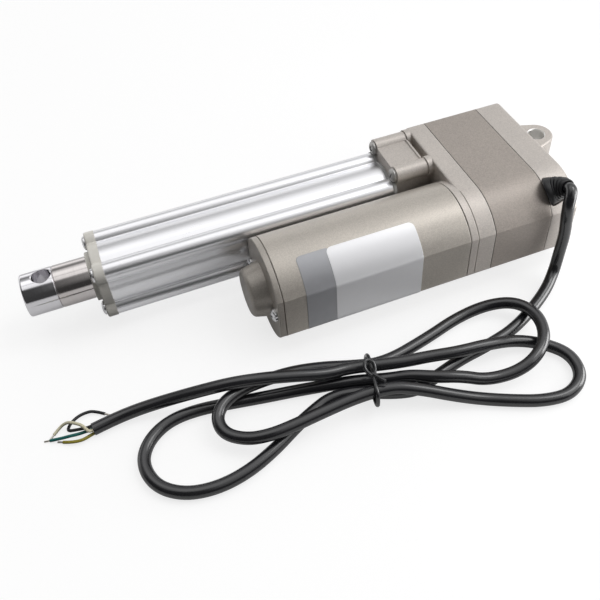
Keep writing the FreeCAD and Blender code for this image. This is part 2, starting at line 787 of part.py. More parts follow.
for side in (-bolt_place, bolt_place):
    end_cap = end_cap.cut(rod_x(bolt_hole, x_spigot - past, x_motor_end + past, motor_y + side, 0))
keep(end_cap, "motor_end_cap")
bolts = []
for side in (-bolt_place, bolt_place):
    reach = x_motor_end - bolt_tip - tip_clearance / 2.0
    bolts.append(pan_screw(x_motor_end, 1, reach, bolt_form, motor_y + side, 0))
keep_group(bolts, "motor_bolts")
bush_inner = shaft_radius + running_gap
keep(ring_x(bush_radius, bush_inner, end_bush_back, end_bush_front, motor_y, 0), "motor_end_bush")
keep(ring_x(bush_radius, bush_inner, bush_back, x_collar_front, motor_y, 0), "motor_front_bush")
core_back = x_motor + core_place
core_front = core_back + core_length
magnet_outer = half_height - motor_wall - slip_gap
magnets = []
sector = magnet_half_angle
for side in (90, 270):
    ends = []
    for angle in (side - sector, side + sector):
        turn = math.radians(angle)
        points = [(motor_y + r * math.cos(turn), r * math.sin(turn)) for r in (magnet_inner, magnet_outer)]
        ends.append(line(points[0][0], points[0][1], points[1][0], points[1][1]))
    ends.append(arc_yz(magnet_inner, motor_y, 0, side - sector, side + sector))
    ends.append(arc_yz(magnet_outer, motor_y, 0, side - sector, side + sector))
    magnets.append(pull(ends, core_back - magnet_over, core_front + magnet_over))
keep_group(magnets, "motor_magnets")

# Armature: shaft, slotted core, winding, commutator, pinion
pinion_back = wheel_back - pinion_over
pinion_end = wheel_front + pinion_over
shaft_end = end_bush_front - end_gap
keep(rod_x(shaft_radius, pinion_back - tip_clearance, shaft_end, motor_y, 0), "motor_shaft")
core = ring_x(core_radius, shaft_radius, core_back, core_front, motor_y, 0)
head_outer = core_radius - winding_step
head_inner = shaft_radius + winding_step
winding = ring_x(head_outer, head_inner, core_back - winding_reach, core_back, motor_y, 0)
winding = winding.fuse(ring_x(head_outer, head_inner, core_front, core_front + winding_reach, motor_y, 0))
slot_floor = core_radius * slot_share
slot_back = core_back - past
slot_front = core_front + past
bar_top = core_radius - tooth_tip - loose_gap
for k in range(core_slots):
    bar_half = slot_half - slip_gap
    slot = block(slot_back, slot_front, slot_floor, core_radius - tooth_tip, -slot_half, slot_half)
    mouth = block(slot_back, slot_front, slot_floor, core_radius + past, -mouth_half, mouth_half)
    bar = block(slot_back, slot_front, slot_floor + slip_gap, bar_top, -bar_half, bar_half)
    for solid in (slot, mouth, bar):
        solid.rotate(vec(0, 0, 0), vec(1, 0, 0), 360.0 * k / core_slots)
        solid.translate(vec(0, motor_y, 0))
    core = core.cut(slot).cut(mouth)
    winding = winding.fuse(bar)
keep(core, "armature_core")
keep(winding.removeSplitter(), "armature_winding")
commutator_back = core_front + winding_reach + loose_gap
commutator_front = commutator_back + commutator_length
commutator_outer = commutator_radius - running_gap
copper = ring_x(commutator_outer, shaft_radius, commutator_back, commutator_front, motor_y, 0)
keep(copper, "commutator")
pinion = pull(gear_edges(motor_teeth, module_fast, tooth_shift, motor_y, 0.0), pinion_back, pinion_end)
keep(pinion.cut(rod_x(shaft_radius, pinion_back - past, pinion_end + past, motor_y, 0)), "motor_pinion")

# Brush holder plate with two boxes, and the brushes that press on the commutator
plate_back = commutator_front + end_gap
plate_front = plate_back + holder_thick
brush_middle = commutator_back + brush_size
half = brush_size / 2.0
box_half = half + brush_wall
holder = pull(motor_edges(motor_wall + running_gap), plate_back, plate_front)
holder = holder.cut(rod_x(shaft_radius + holder_room, plate_back - past, plate_front + past, motor_y, 0))
brushes = []
box_low = brush_low + brush_wall
box_high = brush_high + brush_wall
for turn in (0, 180):
    box = block(brush_middle - box_half, plate_back + past, -box_half, box_half, box_low, box_high)
    channel = block(brush_middle - half, brush_middle + half, -half, half, brush_low, brush_high)
    brush = channel.cut(rod_x(commutator_radius, brush_middle - box_half, brush_middle + box_half))
    for solid in (box, channel, brush):
        solid.rotate(vec(0, 0, 0), vec(1, 0, 0), turn)
        solid.translate(vec(0, motor_y, 0))
    holder = holder.fuse(box).cut(channel)
    brushes.append(brush)
for side in (-bolt_place, bolt_place):
    holder = holder.cut(rod_x(bolt_hole, plate_back - past, plate_front + past, motor_y + side, 0))
keep(holder.removeSplitter(), "brush_holder")
keep_group(brushes, "motor_brushes")

# Gland: rubber cap that leans back out of its seat and turns the cable down
gland = Part.makeCylinder(gland_radius, gland_base_length, gland_base, gland_axis)
body = Part.makeCylinder(gland_body_radius, gland_body_length, gland_base, gland_axis)
ball_centre = gland_base + gland_axis * gland_body_length
dome = Part.makeSphere(gland_body_radius, ball_centre)
mouth_axis = vec(0.205, 0.863, -0.461)
mouth_axis.normalize()
mouth_length = gland_body_radius + gland_sunk
nozzle = Part.makeCylinder(gland_mouth, mouth_length, ball_centre, mouth_axis)
ribs = []
for index in range(gland_ribs):
    rib_place = gland_base + gland_axis * (rib_first + rib_pitch * index)
    ribs.append(Part.makeCylinder(gland_body_radius + rib_proud, rib_width, rib_place, gland_axis))
gland = gland.multiFuse([body, dome, nozzle] + ribs).removeSplitter()
keep(gland, "cable_gland")

# Cable: leaves the gland, drops to the floor, runs back and forth in four loops held by one tie.
# Each point, in cable diameters, gives the way along from the gland, the way out from the motor's flat
# and the lift over a cable lying on the floor.
cable_exit = ball_centre + mouth_axis * mouth_length
lying = floor_z + cable_radius
route = [
    (-0.73, 1.17, 4.62), (-0.65, 1.25, 2.38), (0.15, 1.79, 0.52), (2.17, 3.33, 0.10),
    (5.88, 5.42, 0.00), (9.08, 6.17, 0.00), (11.90, 6.54, 0.00), (14.48, 7.25, 0.00),
    (16.31, 7.87, 0.04), (18.35, 7.56, 0.37), (20.92, 6.29, 0.33), (22.96, 5.87, 0.12),
    (24.58, 6.40, 0.00), (26.21, 7.13, 0.00), (28.46, 8.40, 0.00), (30.87, 9.37, 0.00),
    (33.33, 9.71, 0.00), (35.67, 9.25, 0.00), (37.42, 7.85, 0.00), (37.96, 5.69, 0.00),
    (37.08, 3.98, 0.00), (35.25, 2.90, 0.00), (32.90, 2.79, 0.00), (30.27, 3.25, 0.00),
    (27.54, 3.77, 0.00), (24.90, 4.23, 0.04), (20.83, 5.25, 0.33), (18.23, 6.17, 0.37),
    (16.62, 6.87, 0.90), (14.96, 7.98, 1.23), (13.04, 8.67, 1.15), (11.19, 9.38, 0.54),
    (8.73, 9.73, 0.65), (6.73, 9.38, 1.17), (4.96, 7.88, 1.23), (4.29, 5.63, 1.21),
    (5.15, 3.63, 0.96), (7.19, 2.60, 0.38), (10.08, 2.63, 0.04), (13.40, 3.58, 0.04),
    (17.85, 4.71, 0.37), (20.54, 3.87, 0.37), (22.46, 3.13, 0.33), (24.85, 2.58, 0.37),
    (27.25, 2.67, 0.65), (29.40, 3.06, 1.04), (30.94, 3.71, 1.15), (31.83, 4.79, 1.00),
    (31.62, 6.17, 0.81), (30.23, 7.27, 0.85), (28.54, 7.75, 1.08), (26.75, 7.75, 1.19),
    (24.75, 7.54, 1.19), (21.31, 7.29, 1.25), (18.50, 7.60, 1.40), (16.42, 8.52, 1.12),
    (14.31, 9.56, 0.54), (12.29, 10.40, 0.00), (10.04, 11.54, 0.00), (7.81, 12.48, 0.00),
    (5.62, 12.75, 0.00), (3.81, 11.63, 0.00), (3.46, 9.52, 0.00), (4.77, 7.83, 0.00),
    (6.96, 6.77, 0.35), (9.69, 6.71, 1.08), (12.19, 6.54, 1.21), (14.50, 6.02, 1.19),
    (16.50, 5.71, 1.19), (18.31, 5.25, 1.17), (20.73, 4.56, 1.17), (22.73, 4.58, 1.46),
    (25.02, 4.06, 1.85), (27.29, 3.54, 2.12), (29.79, 2.98, 2.17), (32.23, 2.35, 1.65),
    (34.69, 1.63, 0.88), (37.08, 1.15, 0.31), (39.23, 1.10, 0.02), (40.85, 1.37, 0.00),
]
cable_first = cable_exit + mouth_axis * exit_run


def beside(along, out, lift):
    x = gland_base.x + along * cable_width
    return vec(x, motor_flat + out * cable_width, lying + lift * cable_width)


cable_points = [cable_exit, cable_first] + [beside(x, y, lift) for x, y, lift in route]
keep(tube_path(cable_points, cable_radius, "cable"), "cable")

# Four insulated conductors that curl out where the jacket ends; the first two numbers of each give its
# place in the jacket, the rest its way as for the cable
end_way = cable_points[-1] - cable_points[-2]
end_way.normalize()
sideways = vec(-end_way.y, end_way.x, 0)
upward = end_way.cross(sideways)
wire_routes = [
    (-1, -1, [
        (41.40, 1.21, -0.17), (41.98, 1.29, -0.06), (42.65, 1.23, -0.02), (43.33, 1.10, -0.13),
        (44.15, 0.83, -0.33),
    ]),
    (1, -1, [(41.31, 1.71, -0.21), (41.88, 1.87, -0.17), (42.69, 1.67, -0.21), (43.23, 1.35, -0.35)]),
    (-1, 1, [
        (41.50, 1.12, 0.19), (42.08, 0.98, 0.13), (42.73, 0.79, 0.06), (42.46, 0.10, -0.10),
        (41.87, -0.33, -0.13), (41.23, -0.52, -0.19), (40.56, -0.50, -0.27), (39.79, 0.08, -0.33),
    ]),
    (1, 1, [
        (41.25, 1.50, 0.36), (41.50, 1.06, 0.56), (41.94, 0.67, 0.52), (42.38, 0.29, 0.40),
        (42.85, -0.02, 0.02), (43.33, 0.04, -0.25), (43.81, 0.44, -0.33),
    ]),
]
wires = []
for side, up, places in wire_routes:
    root = cable_points[-1] + sideways * (side * wire_place) + upward * (up * wire_place)
    wire_points = [root, root + end_way * wire_lead] + [beside(x, y, lift) for x, y, lift in places]
    wires.append(tube_path(wire_points, wire_radius, "wire"))
keep_group(wires, "cable_wires")

# Twist tie: a wire ring about the bundle with a twisted eye and one short tail
tie_centre = beside(19.46, 5.87, 0)
tie_across = vec(0.227, 0.974, 0)
tie_outline = [
    (-2.577, 0.269), (-2.038, -0.337), (1.462, -0.337), (2.769, 0.885),
    (2.308, 2.192), (0.769, 2.154), (-1.385, 2.038),
]
ring_points = []
for side, lift in tie_outline:
    place = tie_across * (side * cable_width) + vec(0, 0, lift * cable_width)
    ring_points.append(tie_centre + place)
tie = tube_loop(ring_points, tie_radius)
eye_rise = vec(0.1, -0.8, 0.6)
eye_wide = vec(1, 0.2, 0.1)
eye_outline = [(0, -0.2), (0.9, 1.2), (1.05, 2.4), (0, 3.4), (-1.05, 2.4), (-0.9, 1.2)]
eye_points = [ring_points[5] + (eye_wide * wide + eye_rise * rise) * tie_eye for wide, rise in eye_outline]
eye = tube_loop(eye_points, tie_radius)
tail_root = ring_points[5] + eye_rise * tie_eye_low
tail = Part.makeCylinder(tie_radius, tie_tail, tail_root, vec(-0.45, 0.85, 0.1))
keep(tie.multiFuse([eye, tail]), "cable_tie")
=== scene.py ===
import math

import bmesh
import bpy
from mathutils import Matrix, Vector


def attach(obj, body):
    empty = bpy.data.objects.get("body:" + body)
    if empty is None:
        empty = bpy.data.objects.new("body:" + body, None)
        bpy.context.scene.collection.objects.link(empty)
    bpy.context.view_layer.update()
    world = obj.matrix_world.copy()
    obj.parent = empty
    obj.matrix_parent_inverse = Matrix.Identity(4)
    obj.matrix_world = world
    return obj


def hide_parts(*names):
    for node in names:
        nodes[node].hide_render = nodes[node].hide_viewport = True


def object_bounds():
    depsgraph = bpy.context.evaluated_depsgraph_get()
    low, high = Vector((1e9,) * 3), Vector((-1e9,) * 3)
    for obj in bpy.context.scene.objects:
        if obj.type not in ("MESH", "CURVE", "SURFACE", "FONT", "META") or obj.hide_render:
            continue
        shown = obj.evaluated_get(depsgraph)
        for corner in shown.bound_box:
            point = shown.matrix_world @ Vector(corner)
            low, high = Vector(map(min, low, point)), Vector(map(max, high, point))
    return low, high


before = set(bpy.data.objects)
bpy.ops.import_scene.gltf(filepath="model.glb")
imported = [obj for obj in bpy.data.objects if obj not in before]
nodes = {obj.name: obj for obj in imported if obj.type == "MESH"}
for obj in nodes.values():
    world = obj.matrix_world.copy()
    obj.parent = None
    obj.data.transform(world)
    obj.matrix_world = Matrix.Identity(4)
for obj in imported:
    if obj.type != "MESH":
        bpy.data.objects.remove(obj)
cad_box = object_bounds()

# Studio. A white table under two soft lamps, the stronger one over the rear end, and two small ones at the
# motor side, in a room that is dim on the camera's side. The camera stands above the motor side and looks
# down along the actuator to its rear lug.
scene = bpy.context.scene
scene.view_settings.view_transform = "Standard"
mm = 0.001
floor_z = cad_box[0].z

camera_place = (0.2046, 0.2459, 0.2393)
camera_right = Vector((-0.93081728, 0.36307507, -0.04190085))
camera_down = Vector((0.28931328, 0.66191100, -0.69149957))
camera_ahead = Vector((-0.22333162, -0.65578223, -0.72116063))
lens = bpy.data.cameras.new("camera")
lens.sensor_width = 36.0
lens.lens = 44.728
lens.shift_x = -0.02506
lens.shift_y = -0.07209
lens.clip_start = 0.01
camera = bpy.data.objects.new("camera", lens)
turned = Matrix((camera_right, -camera_down, -camera_ahead)).transposed().to_4x4()
camera.matrix_world = Matrix.Translation(camera_place) @ turned
scene.collection.objects.link(camera)
scene.camera = camera


def add(tree, kind, inputs=None, **settings):
    """One node, with its settings and its inputs, each a value or another node's output."""
    node = tree.nodes.new(kind)
    for name, value in settings.items():
        setattr(node, name, value)
    for name, value in (inputs or {}).items():
        if isinstance(value, bpy.types.NodeSocket):
            tree.links.new(value, node.inputs[name])
        else:
            node.inputs[name].default_value = value
    return node


def grey(level):
    return (level, level, level)


def ramp(tree, factor, stops):
    """A colour ramp of grey levels, given as (place, level)."""
    node = add(tree, "ShaderNodeValToRGB", {"Fac": factor})
    elements = node.color_ramp.elements
    while len(elements) < len(stops):
        elements.new(0.5)
    for element, (place, level) in zip(elements, stops):
        element.position = place
        element.color = (*grey(level), 1.0)
    return node.outputs["Color"]


def math_node(tree, operation, first, second=0.0, third=0.0, clamp=False):
    inputs = {0: first, 1: second, 2: third}
    return add(tree, "ShaderNodeMath", inputs, operation=operation, use_clamp=clamp).outputs[0]


def blend_colour(tree, factor, first, second, mode="MIX"):
    """Mixes two colours, each a triple or an output, by a factor."""
    node = add(tree, "ShaderNodeMix", data_type="RGBA", blend_type=mode)
    for index, value in ((0, factor), (6, first), (7, second)):
        if isinstance(value, bpy.types.NodeSocket):
            tree.links.new(value, node.inputs[index])
        elif index:
            node.inputs[index].default_value = (*value, 1.0)
        else:
            node.inputs[index].default_value = value
    return node.outputs[2]


room = bpy.data.worlds.new("room")
room.use_nodes = True
scene.world = room
room_tree = room.node_tree
heading = add(room_tree, "ShaderNodeTexCoord").outputs["Generated"]
toward = add(room_tree, "ShaderNodeSeparateXYZ", {"Vector": heading}).outputs
# Each wall is a list of light levels from the floor, at height 0, to the ceiling, at height 1.
ceiling = (1.0, 1.2)
rod_ceiling = (1.0, 0.6)
front_foot = [(0.0, 0.45), (0.05, 0.45), (0.09, 0.045)]
front_rear_end = [*front_foot, (0.5, 0.06), (0.8, 1.0), ceiling]
front_rod_end = [*front_foot, (0.5, 0.05), (0.93, 0.05), rod_ceiling]
back_rear_end = [(0.0, 0.6), (0.07, 0.6), (0.2, 1.3), (0.5, 0.4), (0.8, 1.05), ceiling]
back_rod_end = [(0.0, 1.2), (0.07, 1.2), (0.2, 1.3), (0.5, 0.2), (0.75, 0.5)]
back_rod_end += [(0.86, 1.4), (0.97, 1.4), rod_ceiling]
halfway = 0.5
rod_end_contrast = 3.0
front_contrast = 2.0
past_rod_end = math_node(room_tree, "MULTIPLY", toward["X"], rod_end_contrast, clamp=True)
to_rod_end = math_node(room_tree, "ADD", toward["X"], halfway)
to_rod_end = math_node(room_tree, "ADD", to_rod_end, past_rod_end, clamp=True)
camera_side = math_node(room_tree, "MULTIPLY_ADD", toward["Y"], front_contrast, toward["X"])
to_front = math_node(room_tree, "ADD", camera_side, halfway, clamp=True)
walls = []
for rear_end, rod_end in ((back_rear_end, back_rod_end), (front_rear_end, front_rod_end)):
    levels = [ramp(room_tree, toward["Z"], stops) for stops in (rear_end, rod_end)]
    walls.append(blend_colour(room_tree, to_rod_end, *levels))
room_light = blend_colour(room_tree, to_front, *walls)
seen_straight = add(room_tree, "ShaderNodeLightPath").outputs["Is Camera Ray"]
backdrop = grey(0.97)
room_light = blend_colour(room_tree, seen_straight, room_light, backdrop)
room_tree.links.new(room_light, room_tree.nodes["Background"].inputs["Color"])


def softbox(name, place, aim, size, power):
    """A rectangular lamp that faces the point it is aimed at."""
    data = bpy.data.lights.new(name, "AREA")
    data.shape = "RECTANGLE"
    data.size, data.size_y = size
    data.energy = power
    lamp = bpy.data.objects.new(name, data)
    lamp.location = place
    lamp.rotation_euler = (Vector(aim) - Vector(place)).to_track_quat("-Z", "Y").to_euler()
    lamp.visible_camera = False
    scene.collection.objects.link(lamp)


softbox("main_lamp", place=(-1.0, 0.10, 1.5), aim=(-1.0, 0.101, 0.0), size=(1.15, 0.7), power=6.8)
softbox("rod_lamp", place=(0.70, 0.10, 1.5), aim=(0.70, 0.101, 0.0), size=(1.15, 0.5), power=0.8)
softbox("side_lamp", place=(-0.30, 0.35, 0.30), aim=(0.03, 0.05, 0.0), size=(0.35, 0.35), power=0.40)
softbox("end_lamp", place=(-0.12, 0.13, 0.02), aim=(0.0, 0.06, 0.0), size=(0.12, 0.12), power=0.24)

table_half = 4.0
table_z = floor_z - 0.02 * mm
table_corners = [(-table_half, -table_half), (table_half, -table_half)]
table_corners += [(table_half, table_half), (-table_half, table_half)]
table_mesh = bpy.data.meshes.new("table")
table_mesh.from_pydata([(x, y, table_z) for x, y in table_corners], [], [(0, 1, 2, 3)])
table = bpy.data.objects.new("table", table_mesh)
scene.collection.objects.link(table)


def start_material(name, colour, roughness, metallic=0.0):
    """A material with one Principled shader and the values that are the same all over it."""
    material = bpy.data.materials.new(name)
    material.use_nodes = True
    shader = material.node_tree.nodes["Principled BSDF"]
    shader.inputs["Base Color"].default_value = (*colour, 1.0)
    shader.inputs["Roughness"].default_value = roughness
    shader.inputs["Metallic"].default_value = metallic
    return material, shader


# The table's colour and glow: in the light that it throws back, in what metal mirrors, and to the camera.
table_colour = (0.13, 0.66, 0.30)
table_glow = (0.0, 0.15, 0.76)
table_white, table_shader = start_material("table_white", grey(table_colour[2]), roughness=0.85)
table_shader.inputs["Specular IOR Level"].default_value = 0.1
table_shader.inputs["Emission Strength"].default_value = 1.0
table_tree = table_white.node_tree
ray = add(table_tree, "ShaderNodeLightPath").outputs
mirrored = math_node(table_tree, "ADD", ray["Is Glossy Ray"], ray["Is Transmission Ray"], clamp=True)
for socket, (thrown, in_metal, to_camera) in (("Base Color", table_colour), ("Emission Color", table_glow)):
    shade = blend_colour(table_tree, mirrored, grey(thrown), grey(in_metal))
    shade = blend_colour(table_tree, ray["Is Camera Ray"], shade, grey(to_camera))
    table_tree.links.new(shade, table_shader.inputs[socket])
table_mesh.materials.append(table_white)


def start_group(name, inputs, outputs):
    """An empty shader group with float or vector inputs and the named outputs."""
    group = bpy.data.node_groups.new(name, "ShaderNodeTree")
    for label, value in inputs:
        kind = "NodeSocketVector" if value is None else "NodeSocketFloat"
        socket = group.interface.new_socket(label, in_out="INPUT", socket_type=kind)
        if value is not None:
            socket.default_value = value
    for label, kind in outputs:
        group.interface.new_socket(label, in_out="OUTPUT", socket_type=kind)
    given_in = group.nodes.new("NodeGroupInput").outputs
    return group, given_in, group.nodes.new("NodeGroupOutput").inputs


def place_group(tree, group, inputs):
    return add(tree, "ShaderNodeGroup", inputs, node_tree=group).outputs


def noise(tree, place, scale, detail):
    inputs = {"Vector": place, "Scale": scale, "Detail": detail}
    return add(tree, "ShaderNodeTexNoise", inputs).outputs["Fac"]


def feed(tree, sockets, sources):
    """Links outputs to the named sockets of a shader or of a group's end."""
    for name, source in sources.items():
        tree.links.new(source, sockets[name])


# Metal flake: each small cell of paint has its own brightness, over a soft orange-peel height.
flake_group, flake_in, flake_out = start_group(
    "metal_flake",
    inputs=[("Position", None), ("Flakes per metre", 2600.0), ("Peel per metre", 900.0)],
    outputs=[("Shade", "NodeSocketFloat"), ("Height", "NodeSocketFloat"), ("Cloud", "NodeSocketFloat")],
)
painted_at = flake_in["Position"]
cell_inputs = {"Vector": painted_at, "Scale": flake_in["Flakes per metre"]}
cells = add(flake_group, "ShaderNodeTexVoronoi", cell_inputs).outputs["Color"]
cell_level = add(flake_group, "ShaderNodeSeparateColor", {"Color": cells}).outputs["Red"]
cell_shade, cell_height = 0.7, 0.35
clouds_per_metre = 55.0
peel = noise(flake_group, painted_at, flake_in["Peel per metre"], 3.0)
feed(flake_group, flake_out, {
    "Shade": math_node(flake_group, "MULTIPLY", cell_level, cell_shade),
    "Height": math_node(flake_group, "MULTIPLY_ADD", cell_level, cell_height, peel),
    "Cloud": noise(flake_group, painted_at, clouds_per_metre, 4.0),
})

# Rounded edge: the normal of an edge as it is after tumbling and paint, and a mask of where it is.
edge_group, edge_in, edge_out = start_group(
    "rounded_edge",
    inputs=[("Radius", 0.4 * mm), ("Gain", 3.0)],
    outputs=[("Normal", "NodeSocketVector"), ("Edge", "NodeSocketFloat")],
)
soft_normal = add(edge_group, "ShaderNodeBevel", {"Radius": edge_in["Radius"]}, samples=6).outputs["Normal"]
hard_normal = add(edge_group, "ShaderNodeNewGeometry").outputs["True Normal"]
both_normals = {0: soft_normal, 1: hard_normal}
facing = add(edge_group, "ShaderNodeVectorMath", both_normals, operation="DOT_PRODUCT").outputs["Value"]
away = math_node(edge_group, "SUBTRACT", 1.0, facing)
feed(edge_group, edge_out, {
    "Normal": soft_normal,
    "Edge": math_node(edge_group, "MULTIPLY", away, edge_in["Gain"], clamp=True),
})


def on_piece(tree):
    return add(tree, "ShaderNodeTexCoord").outputs["Object"]


def bumped(tree, strength, distance, height, normal):
    inputs = {"Strength": strength, "Distance": distance, "Height": height, "Normal": normal}
    return add(tree, "ShaderNodeBump", inputs).outputs["Normal"]


def metal_paint(name, dark, light, edge_highlight, roughness, metallic, flakes):
    """Sprayed silver paint: so many flakes in a metre, a faint cloud, and lighter edges that are a painted
    highlight.
    """
    thin_cloud, thick_cloud = (0.90, 0.90, 0.90), (1.06, 1.05, 1.04)
    highlight_share, flake_gloss, smoothest_by = 0.45, 0.16, 0.06
    peel_strength, peel_height = 0.22, 0.06 * mm
    material, shader = start_material(name, light, roughness, metallic)
    tree = material.node_tree
    flake = place_group(tree, flake_group, {"Position": on_piece(tree), "Flakes per metre": flakes})
    edge = place_group(tree, edge_group, {})
    paint = blend_colour(tree, flake["Shade"], dark, light)
    clouded = blend_colour(tree, flake["Cloud"], thin_cloud, thick_cloud)
    paint = blend_colour(tree, 1.0, paint, clouded, "MULTIPLY")
    # The lighter edge colour is a painted highlight where the rounded edges catch the light; it is not wear.
    edge_share = math_node(tree, "MULTIPLY", edge["Edge"], highlight_share)
    feed(tree, shader.inputs, {
        "Base Color": blend_colour(tree, edge_share, paint, edge_highlight),
        "Roughness": math_node(tree, "MULTIPLY_ADD", flake["Shade"], flake_gloss, roughness - smoothest_by),
        "Normal": bumped(tree, peel_strength, peel_height, flake["Height"], edge["Normal"]),
    })
    return material


def dress(material, *names):
    """Gives CAD nodes a finish."""
    for name in names:
        slots = nodes[name].data.materials
        slots.clear()
        slots.append(material)


casting_metallic = 0.4
# Each paint's lighter edge colour is a painted highlight along the rounded edges of the castings.
pale_paint = metal_paint(
    "casting_paint_pale",
    dark=(0.56, 0.52, 0.485),
    light=(0.72, 0.67, 0.625),
    edge_highlight=(0.80, 0.76, 0.71),
    roughness=0.46,
    metallic=casting_metallic,
    flakes=2600.0,
)
warm_paint = metal_paint(
    "casting_paint_warm",
    dark=(0.38, 0.34, 0.308),
    light=(0.53, 0.478, 0.437),
    edge_highlight=(0.66, 0.61, 0.56),
    roughness=0.46,
    metallic=casting_metallic,
    flakes=2600.0,
)
dress(pale_paint, "front_housing")
dress(warm_paint, "gear_housing")

# The pivot hole in the rear cover is drilled after painting, so its wall and rim are bright metal.
bare_radius = 4.52 * mm
bare_colour = (0.86, 0.85, 0.83)
bare_metallic = 0.9
drilled_paint = pale_paint.copy()
drilled_paint.name = "casting_paint_drilled"
drilled = drilled_paint.node_tree
drilled_inputs = drilled.nodes["Principled BSDF"].inputs
across_hole = {0: on_piece(drilled), 1: (1.0, 1.0, 0.0)}
flattened = add(drilled, "ShaderNodeVectorMath", across_hole, operation="MULTIPLY").outputs["Vector"]
off_axis = add(drilled, "ShaderNodeVectorMath", {0: flattened}, operation="LENGTH").outputs["Value"]
bare_metal = math_node(drilled, "LESS_THAN", off_axis, bare_radius)
around = drilled_inputs["Base Color"].links[0].from_socket
more_metallic = bare_metallic - casting_metallic
feed(drilled, drilled_inputs, {
    "Base Color": blend_colour(drilled, bare_metal, around, bare_colour),
    "Metallic": math_node(drilled, "MULTIPLY_ADD", bare_metal, more_metallic, casting_metallic),
})
dress(drilled_paint, "rear_cover")

# Seals between the castings. Thin black fibre and rubber sheets that show only as dark lines at the joints.
# They are cut to the castings' outline and clamped by the housing screws.
black_seal, seal_shader = start_material("black_seal", (0.012, 0.012, 0.012), roughness=0.7)
seal_tree = black_seal.node_tree
seal_grains_per_metre = 1800.0
seal_grain = noise(seal_tree, on_piece(seal_tree), seal_grains_per_metre, 2.0)
seal_colour = blend_colour(seal_tree, seal_grain, (0.006, 0.006, 0.006), (0.022, 0.021, 0.020))
seal_tree.links.new(seal_colour, seal_shader.inputs["Base Color"])
dress(black_seal, "rear_gasket", "front_gasket", "motor_gasket")

# Gear train, bearing and lead screw. A steel pinion drives two nylon gears and the turned steel screw inside
# the housing; bronze bushes carry the shafts, and a nylon nut runs on the screw. Cutter and lathe leave
# fine lines.
line_group, line_in, line_out = start_group(
    "tool_lines",
    inputs=[("Position", None), ("Along", 1.0), ("Across", 1.0)],
    outputs=[("Line", "NodeSocketFloat"), ("Smear", "NodeSocketFloat")],
)
smears_per_metre = 70.0
tooled_at = add(line_group, "ShaderNodeSeparateXYZ", {"Vector": line_in["Position"]}).outputs
stretch = {}
for axis, count in (("X", "Along"), ("Y", "Across"), ("Z", "Across")):
    stretch[axis] = math_node(line_group, "MULTIPLY", tooled_at[axis], line_in[count])
stretched = add(line_group, "ShaderNodeCombineXYZ", stretch).outputs["Vector"]
feed(line_group, line_out, {
    "Line": noise(line_group, stretched, 1.0, 3.0),
    "Smear": noise(line_group, line_in["Position"], smears_per_metre, 3.0),
})


def tooled(name, dark, light, roughness, metallic, lines, depth=0.1, spread=0.14):
    """A turned, drawn or moulded surface, with so many lines or grains in a metre along X and across it."""
    along, across = lines
    line_height, edge_radius = 0.03 * mm, 0.25 * mm
    material, shader = start_material(name, light, roughness, metallic)
    tree = material.node_tree
    marks = place_group(tree, line_group, {"Position": on_piece(tree), "Along": along, "Across": across})
    edge = place_group(tree, edge_group, {"Radius": edge_radius})
    smeared = math_node(tree, "MULTIPLY_ADD", marks["Smear"], spread, roughness - spread / 2)
    feed(tree, shader.inputs, {
        "Base Color": blend_colour(tree, marks["Line"], dark, light),
        "Roughness": math_node(tree, "MULTIPLY_ADD", marks["Line"], spread, smeared),
        "Normal": bumped(tree, depth, line_height, marks["Line"], edge["Normal"]),
    })
    return material


cut_steel = tooled(
    "cut_steel", dark=(0.40, 0.40, 0.41), light=(0.58, 0.58, 0.58),
    roughness=0.30, metallic=1.0, lines=(6000.0, 200.0),
)
bronze = tooled(
    "sintered_bronze", dark=(0.42, 0.27, 0.12), light=(0.58, 0.40, 0.20),
    roughness=0.40, metallic=1.0, lines=(2500.0, 2500.0),
)
nylon = tooled(
    "white_nylon", dark=(0.66, 0.65, 0.60), light=(0.78, 0.77, 0.72),
    roughness=0.45, metallic=0.0, lines=(900.0, 900.0),
)
dress(cut_steel, "lead_screw", "lock_nut", "idler_axle", "motor_shaft", "motor_pinion")
dress(cut_steel, "bearing_outer_ring", "bearing_inner_ring", "bearing_retainer")
dress(bronze, "motor_end_bush", "motor_front_bush", "rod_guide_bush")
dress(nylon, "drive_nut", "screw_gear", "idler_gear")

# Motor works. Ferrite magnets are glued in the casing; the armature is a stack of steel sheets wound with
# enamelled copper, and carbon brushes in a brown moulded holder press on its copper commutator.
ferrite = tooled(
    "ferrite", dark=(0.03, 0.03, 0.032), light=(0.06, 0.06, 0.062),
    roughness=0.55, metallic=0.0, lines=(1500.0, 1500.0),
)
enamelled = tooled(
    "enamelled_copper", dark=(0.36, 0.10, 0.03), light=(0.55, 0.20, 0.06),
    roughness=0.32, metallic=0.6, lines=(300.0, 3000.0),
)
copper = tooled(
    "turned_copper", dark=(0.62, 0.30, 0.17), light=(0.80, 0.45, 0.28),
    roughness=0.28, metallic=1.0, lines=(6000.0, 300.0),
)
carbon = tooled(
    "brush_carbon", dark=(0.018, 0.018, 0.018), light=(0.04, 0.04, 0.04),
    roughness=0.6, metallic=0.0, lines=(2500.0, 2500.0),
)
phenolic = tooled(
    "brown_phenolic", dark=(0.16, 0.07, 0.03), light=(0.24, 0.11, 0.05),
    roughness=0.45, metallic=0.0, lines=(800.0, 800.0),
)
laminated = tooled(
    "laminated_steel", dark=(0.22, 0.22, 0.23), light=(0.45, 0.45, 0.46),
    roughness=0.42, metallic=1.0, lines=(12000.0, 100.0),
)
dress(ferrite, "motor_magnets")
dress(enamelled, "armature_winding")
dress(copper, "commutator")
dress(carbon, "motor_brushes")
dress(phenolic, "brush_holder")
dress(laminated, "armature_core")
